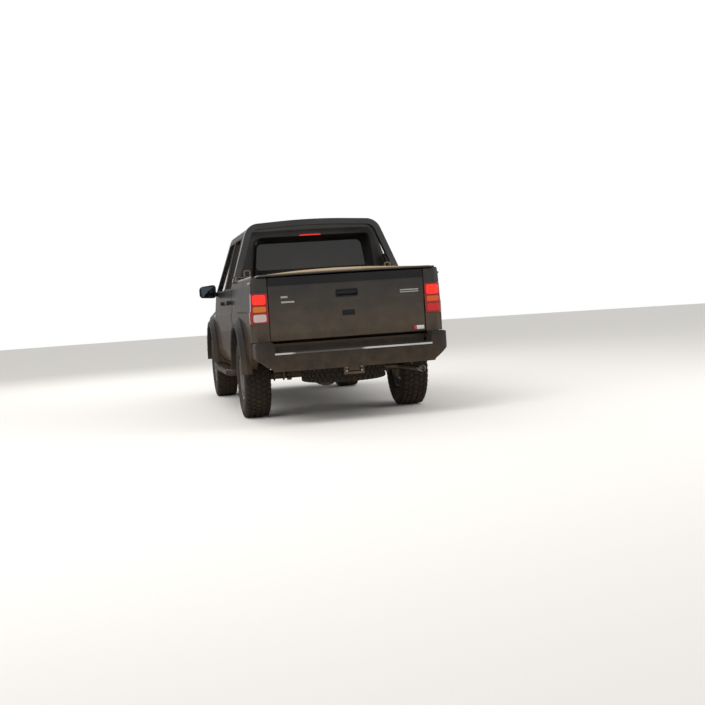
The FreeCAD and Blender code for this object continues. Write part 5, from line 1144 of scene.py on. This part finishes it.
# Headlamps: a clear cover over a bright bowl and an amber turn lamp, standing for the lamps' solids
headlamp = {"y": (0.4815, 0.7885), "z": (0.8015, 0.9485), "bulb": (2.376, 0.585, 0.875),
            "turnCols": slice(24, 33), "bowlX": 2.412, "dip": 0.042, "dipReach": (0.088, 0.070),
            "bulbProfile": [(0.0, 0.016), (0.022, 0.016), (0.030, 0.011), (0.033, 0.0)],
            "fogAt": (2.483, 0.620, 0.560), "fogProfile": [(0.0, 0.0405), (0.0395, 0.0405), (0.0455, 0.0370),
                                                           (0.0490, 0.0260), (0.0505, 0.0120), (0.0508, 0.0)]}
lampFace = surfaceOf("front_lamps")
bulbX, bulbY, bulbZ = headlamp["bulb"]
dipY, dipZ = headlamp["dipReach"]
covers, bowls, ambers, bulbs, fogs = [], [], [], [], []
for side in (1, -1):
    # The bowl dips by an ellipse round the bulb, and its edge meets the cover.
    y, z = side * np.linspace(*headlamp["y"], 34)[None], np.linspace(*headlamp["z"], 20)[:, None]
    grid = np.stack(np.broadcast_arrays(2.45, y, z), -1)
    front = laidOn(lampFace, grid.reshape(-1, 3), (-1, 0, 0)).reshape(grid.shape)
    dip = headlamp["dip"] * np.clip(1 - ((np.abs(y) - bulbY) / dipY) ** 2 - ((z - bulbZ) / dipZ) ** 2, 0, 1)
    back = front - [0.004, 0, 0]
    back[1:-1, 1:-1, 0] = np.minimum(front[..., 0] - 0.014, headlamp["bowlX"] - dip)[1:-1, 1:-1]
    covers.append(slab(front, front - [0.003, 0, 0]))
    bowls.append(slab(back, back - [0.002, 0, 0]))
    turnLamp = front[2:-2, headlamp["turnCols"]] - [0.005, 0, 0]
    ambers.append(slab(turnLamp, turnLamp - [0.006, 0, 0]))
    bulbs.append(lathe(headlamp["bulbProfile"], (bulbX, side * bulbY, bulbZ), (1, 0, 0), 24))
    fogs.append(lathe(headlamp["fogProfile"], headlamp["fogAt"] * np.array([1, side, 1]), (1, 0, 0), 40))
cover = putMesh("headlampCovers", covers, "clearAcrylic", sharp=40)
bowl = putMesh("headlampBowls", bowls, "silvered", sharp=50)
putMesh("headlampBulbs", bulbs, "chromePlate")
putMesh("turnLamps", ambers, "amberAcrylic", sharp=40)
fog = putMesh("fogLamps", fogs, "fogGlass", sharp=40)
for piece in (cover, bowl, fog):
    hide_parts("front_lamps")

# Grille and intake: woven wire behind the bars, and the radiator core
wire = {"pitch": 0.0135, "radius": 0.0011,
        # openings: half width, foot, top and x
        "openings": [(0.452, 0.786, 0.964, 2.4365), (0.430, 0.492, 0.584, 2.462)]}


def meshWires(width, low, high, x):
    # Two sets of wires at 45 degrees, each as long as the opening is high.
    radius, rise = wire["radius"], high - low
    sets = []
    for way in (1, -1):
        middle = np.linspace(-width + rise / 2, width - rise / 2, int((2 * width + rise) / wire["pitch"]))
        centres = np.stack(np.broadcast_arrays(x + way * radius * 0.9, middle, (low + high) / 2), -1)
        sets.append(blocks(centres, (radius, radius, rise * math.sqrt(0.5) - 0.002), radius * 0.4,
                           turnAbout("X", 45 * way)))
    return sets


putMesh("grilleMesh", [wires for opening in wire["openings"] for wires in meshWires(*opening)], "doorRubber")
radiator = {"x": 2.215, "z": 0.740, "fins": 76, "finY": 0.300, "finHalf": (0.016, 0.0008, 0.215), "tubes": 22,
            "tubeZ": (0.535, 0.945), "tubeHalf": (0.014, 0.302, 0.0022), "tankZ": (0.975, 0.508),
            "tankHalf": (0.026, 0.312, 0.020)}
x = radiator["x"]
fins = [(x, y, radiator["z"]) for y in np.linspace(-radiator["finY"], radiator["finY"], radiator["fins"])]
tubes = [(x, 0, z) for z in np.linspace(*radiator["tubeZ"], radiator["tubes"])]
putMesh("radiator", [blocks(fins, radiator["finHalf"], 0.0003), blocks(tubes, radiator["tubeHalf"], 0.001),
                     blocks([(x, 0, z) for z in radiator["tankZ"]], radiator["tankHalf"], 0.006)],
        "exhaustSteel")

# Wipers parked at the foot of the windscreen, washer jets and the hood's creases
inward = unit((-0.756, 0, -0.655))
wiper = {"blade": [(-0.002, -0.006), (0.002, -0.006), (0.005, 0.003), (-0.005, 0.003)],
         "boss": [(0, 0.013), (0.012, 0.013), (0.017, 0.009), (0.0175, 0.0)],
         "z": (1.232, 1.262), "pivot": (1.292, 1.178),
         # y of the blade's foot and tip, and of the pivot
         "pair": [(0.555, 0.020, 0.600), (-0.080, -0.610, -0.020)]}
pivotX, pivotZ = wiper["pivot"]
arms, blades = [], []
for foot, tip, pivot in wiper["pair"]:
    z = np.linspace(*wiper["z"], 24)
    line = np.stack([1.29 - (z - 1.165) * 0.866, np.linspace(foot, tip, 24), z], -1)
    onGlass = laidOn(glassFace, line, inward)
    blades.append(sweep(wiper["blade"], onGlass - inward * 0.006, -inward))
    arm = [(pivotX, pivot, 1.196), (pivotX - 0.010, pivot - 0.02, 1.222), onGlass[12] - inward * 0.017,
           onGlass[12] - inward * 0.012]
    arms += [sweep(dome(0.0070, 0.0055, 6), smoothPath(arm, 20), -inward),
             lathe(wiper["boss"], (pivotX, pivot, pivotZ), (0.35, 0, 1), 20)]
putMesh("wiperArms", arms, "blackPlastic", sharp=40)
putMesh("wiperBlades", blades, "doorRubber", sharp=40)
hoodFace = surfaceOf("hood")
jets = [pillow(spot + [0, 0, 0.002], (1, 0, -0.08), (0, 1, 0), (0.013, 0.010), 0.005, 0.002,
               count=(10, 10))[0]
        for spot in laidOn(hoodFace, [(1.400, y, 1.2) for y in (-0.22, 0.22)], (0, 0, -1))]
putMesh("washerJets", jets, "doorRubber", "hood", 50)
crease = {"half": 0.030, "height": 0.0045, "start": 1.37, "length": 0.99, "y": 0.43, "narrowing": 0.07}
ridge = dome(crease["half"], crease["height"], 12)
along = np.linspace(0, 1, 60)
taper = np.clip(np.minimum(along, 1 - along) / 0.08, 0.05, 1)
creases = []
for side in (1, -1):
    # The creases draw together towards the nose, and sink into the hood at both ends.
    line = [(x, side * (crease["y"] - crease["narrowing"] * (x - 1.36) / 1.02), 1.3)
            for x in crease["start"] + crease["length"] * along]
    onHood = laidOn(hoodFace, line, (0, 0, -1))
    rise = ridge[:, 1] * taper[:, None] - 0.0004
    creases.append(skin(onHood[:, None] + np.stack(np.broadcast_arrays(0, ridge[:, 0], rise), -1)))
putMesh("hoodCreases", creases, "graphiteLacquer", "hood", 60)

# Engine bay: covers on the block, air box, battery and bottles
engineBay = {
    # padded covers: place, half sizes, thickness, crown and pull, and seams pressed into them
    "covers": [((1.645, 0, 0.968), (0.235, 0.150), 0.016, 0.004, 0.01, (-0.09, -0.03, 0.03, 0.09)),
               ((1.930, 0.430, 0.880), (0.110, 0.080), 0.055, 0.006, 0.02, ()),
               ((1.560, -0.440, 0.890), (0.075, 0.060), 0.060, 0.004, 0.02, ())],
    "airHose": [(1.850, 0.370, 0.915), (1.840, 0.300, 0.950), (1.770, 0.235, 0.955), (1.700, 0.200, 0.930)],
    "coolantHose": [(2.198, 0.180, 0.930), (2.130, 0.175, 0.945), (2.040, 0.120, 0.930),
                    (1.955, 0.080, 0.900)],
    "battery": (1.500, 0.430, 0.850), "batteryHalf": (0.100, 0.075, 0.075), "lid": (1.500, 0.430, 0.927),
    "lidHalf": (0.096, 0.071, 0.006), "postX": (1.440, 1.560),
    "oilCap": ((1.750, -0.070, 0.975), (1.750, -0.070, 1.000)),
}
bayCovers = [pillow(place, *lyingFlat, half, thick, crown, pull, [(1, y, 0.005, 0.006) for y in seams])[0]
             for place, half, thick, crown, pull, seams in engineBay["covers"]]
putMesh("engineCovers", bayCovers, "trimPlastic", sharp=50)
hoses = [sweep(circle(0.030, 16), smoothPath(engineBay["airHose"], 30)),
         sweep(circle(0.018, 14), smoothPath(engineBay["coolantHose"], 30))]
putMesh("engineHoses", hoses, "doorRubber", sharp=50)
putMesh("battery", [blocks([engineBay["battery"]], engineBay["batteryHalf"], 0.006),
                    blocks([engineBay["lid"]], engineBay["lidHalf"], 0.002)], "doorRubber")
posts = [rod((x, 0.400, 0.930), (x, 0.400, 0.950), 0.009) for x in engineBay["postX"]]
putMesh("batteryPosts", posts + [rod(*engineBay["oilCap"], 0.022)], "zincSteel")
print("front pieces made")


# Under the body: shock absorbers, U-bolts, cover bolts, joints, straps and the tail pipe
def shock(top, foot):
    # A shroud over a tube along the line between two eyes.
    top, foot = np.array(top), np.array(foot)
    axis, eye = foot - top, np.array([0, 0.022, 0])
    length = np.linalg.norm(axis)
    shroud = [(0.02, 0.012), (0.025, 0.033), (0.45 * length, 0.033), (0.45 * length, 0.029), (0.03, 0.028)]
    tube = [(0.42 * length, 0.026), (length - 0.03, 0.026), (length - 0.022, 0.020), (length - 0.02, 0.0)]
    return [lathe(shroud, top, axis, 24, True), lathe(tube, top, axis, 24),
            rod(top, top + axis * 0.45, 0.010),
            rod(top - eye, top + eye, 0.018), rod(foot - eye, foot + eye, 0.018)]


under = {
    # eyes of the left shock absorbers: top and foot
    "shocks": [((-1.200, 0.440, 0.640), (-1.445, 0.420, 0.350)),
               ((1.735, 0.455, 0.640), (1.705, 0.520, 0.270))],
    # U-bolts round the rear axle: x and z of each, distances across the spring, and their nuts
    "hoop": ((-1.405, 0.505), (-1.405, 0.380), (-1.392, 0.345), (-1.360, 0.333), (-1.328, 0.345),
             (-1.315, 0.380), (-1.315, 0.505)),
    "springY": 0.507, "hoopApart": (-0.045, 0.045), "nutX": (-1.405, -1.315), "nutZ": 0.488,
    # cover of the differential: middle, radius of its bolts and angle between them
    "cover": (-1.460, 0.060, 0.385), "coverRadius": 0.086, "coverStep": 36,
    "joints": [(-1.128, 0.058, 0.388), (0.538, 0.0, 0.494)],
    "joint": [(-0.016, 0.0), (-0.016, 0.050), (-0.004, 0.054), (0.006, 0.054), (0.016, 0.044), (0.016, 0.0)],
    # y and z along each strap of the tank
    "strap": ((0.399, 0.4135), (0.300, 0.4135), (0.110, 0.4135), (0.0925, 0.4200), (0.0885, 0.4400),
              (0.0885, 0.555)),
    "strapX": (-0.45, -0.02), "tip": (-2.270, -0.640, 0.4000),
    "tailPipe": [(0.0, 0.0255), (0.0, 0.0290), (0.088, 0.0290), (0.090, 0.0275), (0.088, 0.0255)],
    # places on the exhaust where it hangs
    "hangers": ((-2.10, -0.640, 0.400), (-0.40, -0.180, 0.515)),
    "pipeY": (0.10, 0.30, 0.44, 0.62), "pipeX": -1.352, "pipeZ": 0.4295,
}
shocks, hoops, nuts = [], [], []
for side in (1, -1):
    for eyes in under["shocks"]:
        shocks += shock(*(np.array(eye) * [1, side, 1] for eye in eyes))
    for apart in under["hoopApart"]:
        y = side * under["springY"] + apart
        line = smoothPath([(x, y, z) for x, z in under["hoop"]], 40)
        hoops.append(sweep(circle(0.0065, 8), line, (0, 1, 0)))
        nuts += bolts([(x, y, under["nutZ"]) for x in under["nutX"]], (0, 0, 1), 0.0115, 0.011)
putMesh("shockAbsorbers", shocks, "chassisEnamel", sharp=35)
turn = np.radians(np.arange(0, 360, under["coverStep"]))
around = under["coverRadius"] * np.stack([0 * turn, np.cos(turn), np.sin(turn)], -1)
nuts += bolts(under["cover"] + around, (-1, 0, 0), 0.0075, 0.007)
for centre in np.array(under["joints"]):
    nuts.append(lathe(under["joint"], centre, (1, 0, 0), 28))
    nuts += [rod(centre + arm + [0.03, 0, 0], centre - arm + [0.03, 0, 0], 0.016)
             for arm in np.array([(0, 0.052, 0), (0, 0, 0.052)])]
putMesh("axleHoops", hoops, "zincSteel", sharp=40)
putMesh("underNuts", nuts, "zincSteel")
putMesh("tankStraps", [sweep(ribbon(0.016, 0.0015), [(x, y, z) for y, z in under["strap"]], (0, 0.5, 0.5))
                       for x in under["strapX"]], "zincSteel")
putMesh("exhaustTip", [lathe(under["tailPipe"], under["tip"], (-1, 0, 0), 32, True)], "brushedAluminium")
hangers = [sweep(circle(0.005, 8), smoothPath([(x, y + 0.02, z + 0.024), (x, y + 0.03, z + 0.060),
                                               (x + 0.01, y + 0.05, 0.560)], 14), (1, 0, 0))
           for x, y, z in under["hangers"]]
putMesh("exhaustHangers", hangers, "chassisEnamel", sharp=40)
pipes = [sweep(circle(0.0035, 8),
               smoothPath([(under["pipeX"], side * y, under["pipeZ"]) for y in under["pipeY"]], 20),
               (1, 0, 0)) for side in (1, -1)]
putMesh("brakePipes", pipes, "zincSteel", sharp=40)
print("underbody pieces made")

# Light, floor and camera
stage = {"floor": "#e4e1dc", "floorRadius": 40, "sky": "#ffffff", "skyStrength": 0.75,
         # area lamps: place, aim, size, watts
         "lamps": {"keyLamp": ((-6, 5, 6.5), (-0.3, 0, 0.8), 5, 420),
                   "fillLamp": ((-5, -6, 4), (0, 0, 0.8), 5, 180),
                   "rimLamp": ((6, 2, 6), (0.3, 0, 0.8), 5, 260)}}
view = {"place": (-11.757, 1.923, 1.008), "azimuth": -11.67, "rise": -2.52, "roll": -3.85,
        "focal": 1098.6 / 705}


def studio():
    # A white world that is brighter to the camera and in reflections than on the truck, a pale floor and
    # three area lamps.
    world = bpy.data.worlds.new("plainStudio")
    bpy.context.scene.world = world
    world.use_nodes = True
    tree = world.node_tree
    tree.nodes.clear()
    path = add(tree, "LightPath", {}).node.outputs
    seen = add(tree, "Math", {"operation": "ADD", "use_clamp": True, 0: path["Is Camera Ray"],
                              1: path["Is Glossy Ray"]})
    seen = add(tree, "Math", {"operation": "ADD", "use_clamp": True, 0: seen, 1: path["Is Transmission Ray"]})
    strength = add(tree, "MapRange", {"To Min": stage["skyStrength"], "To Max": 1.0, "Value": seen})
    sky = add(tree, "Background", {"Color": linear(stage["sky"]), "Strength": strength})
    add(tree, "OutputWorld", {"Surface": sky})
    pale = bpy.data.materials.new("paleFloor")
    pale.use_nodes = True
    inputs = pale.node_tree.nodes["Principled BSDF"].inputs
    inputs["Base Color"].default_value, inputs["Roughness"].default_value = linear(stage["floor"]), 0.9
    mesh = bpy.data.meshes.new("floor")
    ring = np.pad(circle(stage["floorRadius"], 64), ((0, 0), (0, 1)))
    mesh.from_pydata(ring.tolist(), [], [list(range(64))])
    mesh.materials.append(pale)
    floor = newObject("floor", mesh)
    for name, (place, aim, size, power) in stage["lamps"].items():
        data = bpy.data.lights.new(name, "AREA")
        data.size, data.energy = size, power
        light = newObject(name, data)
        light.location = place
        light.rotation_euler = (Vector(aim) - Vector(place)).to_track_quat("-Z", "Y").to_euler()


def placeCamera():
    # The photograph's viewing angle: ahead from azimuth and rise, then rolled about ahead.
    data = bpy.data.cameras.new("viewer")
    data.sensor_width, data.sensor_fit = 36.0, "HORIZONTAL"
    data.lens = data.sensor_width * view["focal"]
    camera = newObject("viewer", data)
    az, el, roll = (math.radians(view[k]) for k in ("azimuth", "rise", "roll"))
    ahead = Vector((math.cos(az) * math.cos(el), math.sin(az) * math.cos(el), math.sin(el)))
    right = Vector((math.sin(az), -math.cos(az), 0))
    up = right.cross(ahead)
    right, up = right * math.cos(roll) + up * math.sin(roll), up * math.cos(roll) - right * math.sin(roll)
    turn = Matrix((right, up, -ahead)).transposed().to_4x4()
    camera.matrix_world = Matrix.Translation(view["place"]) @ turn
    bpy.context.scene.camera = camera


studio()
placeCamera()
bpy.context.scene.view_settings.view_transform = "Standard"
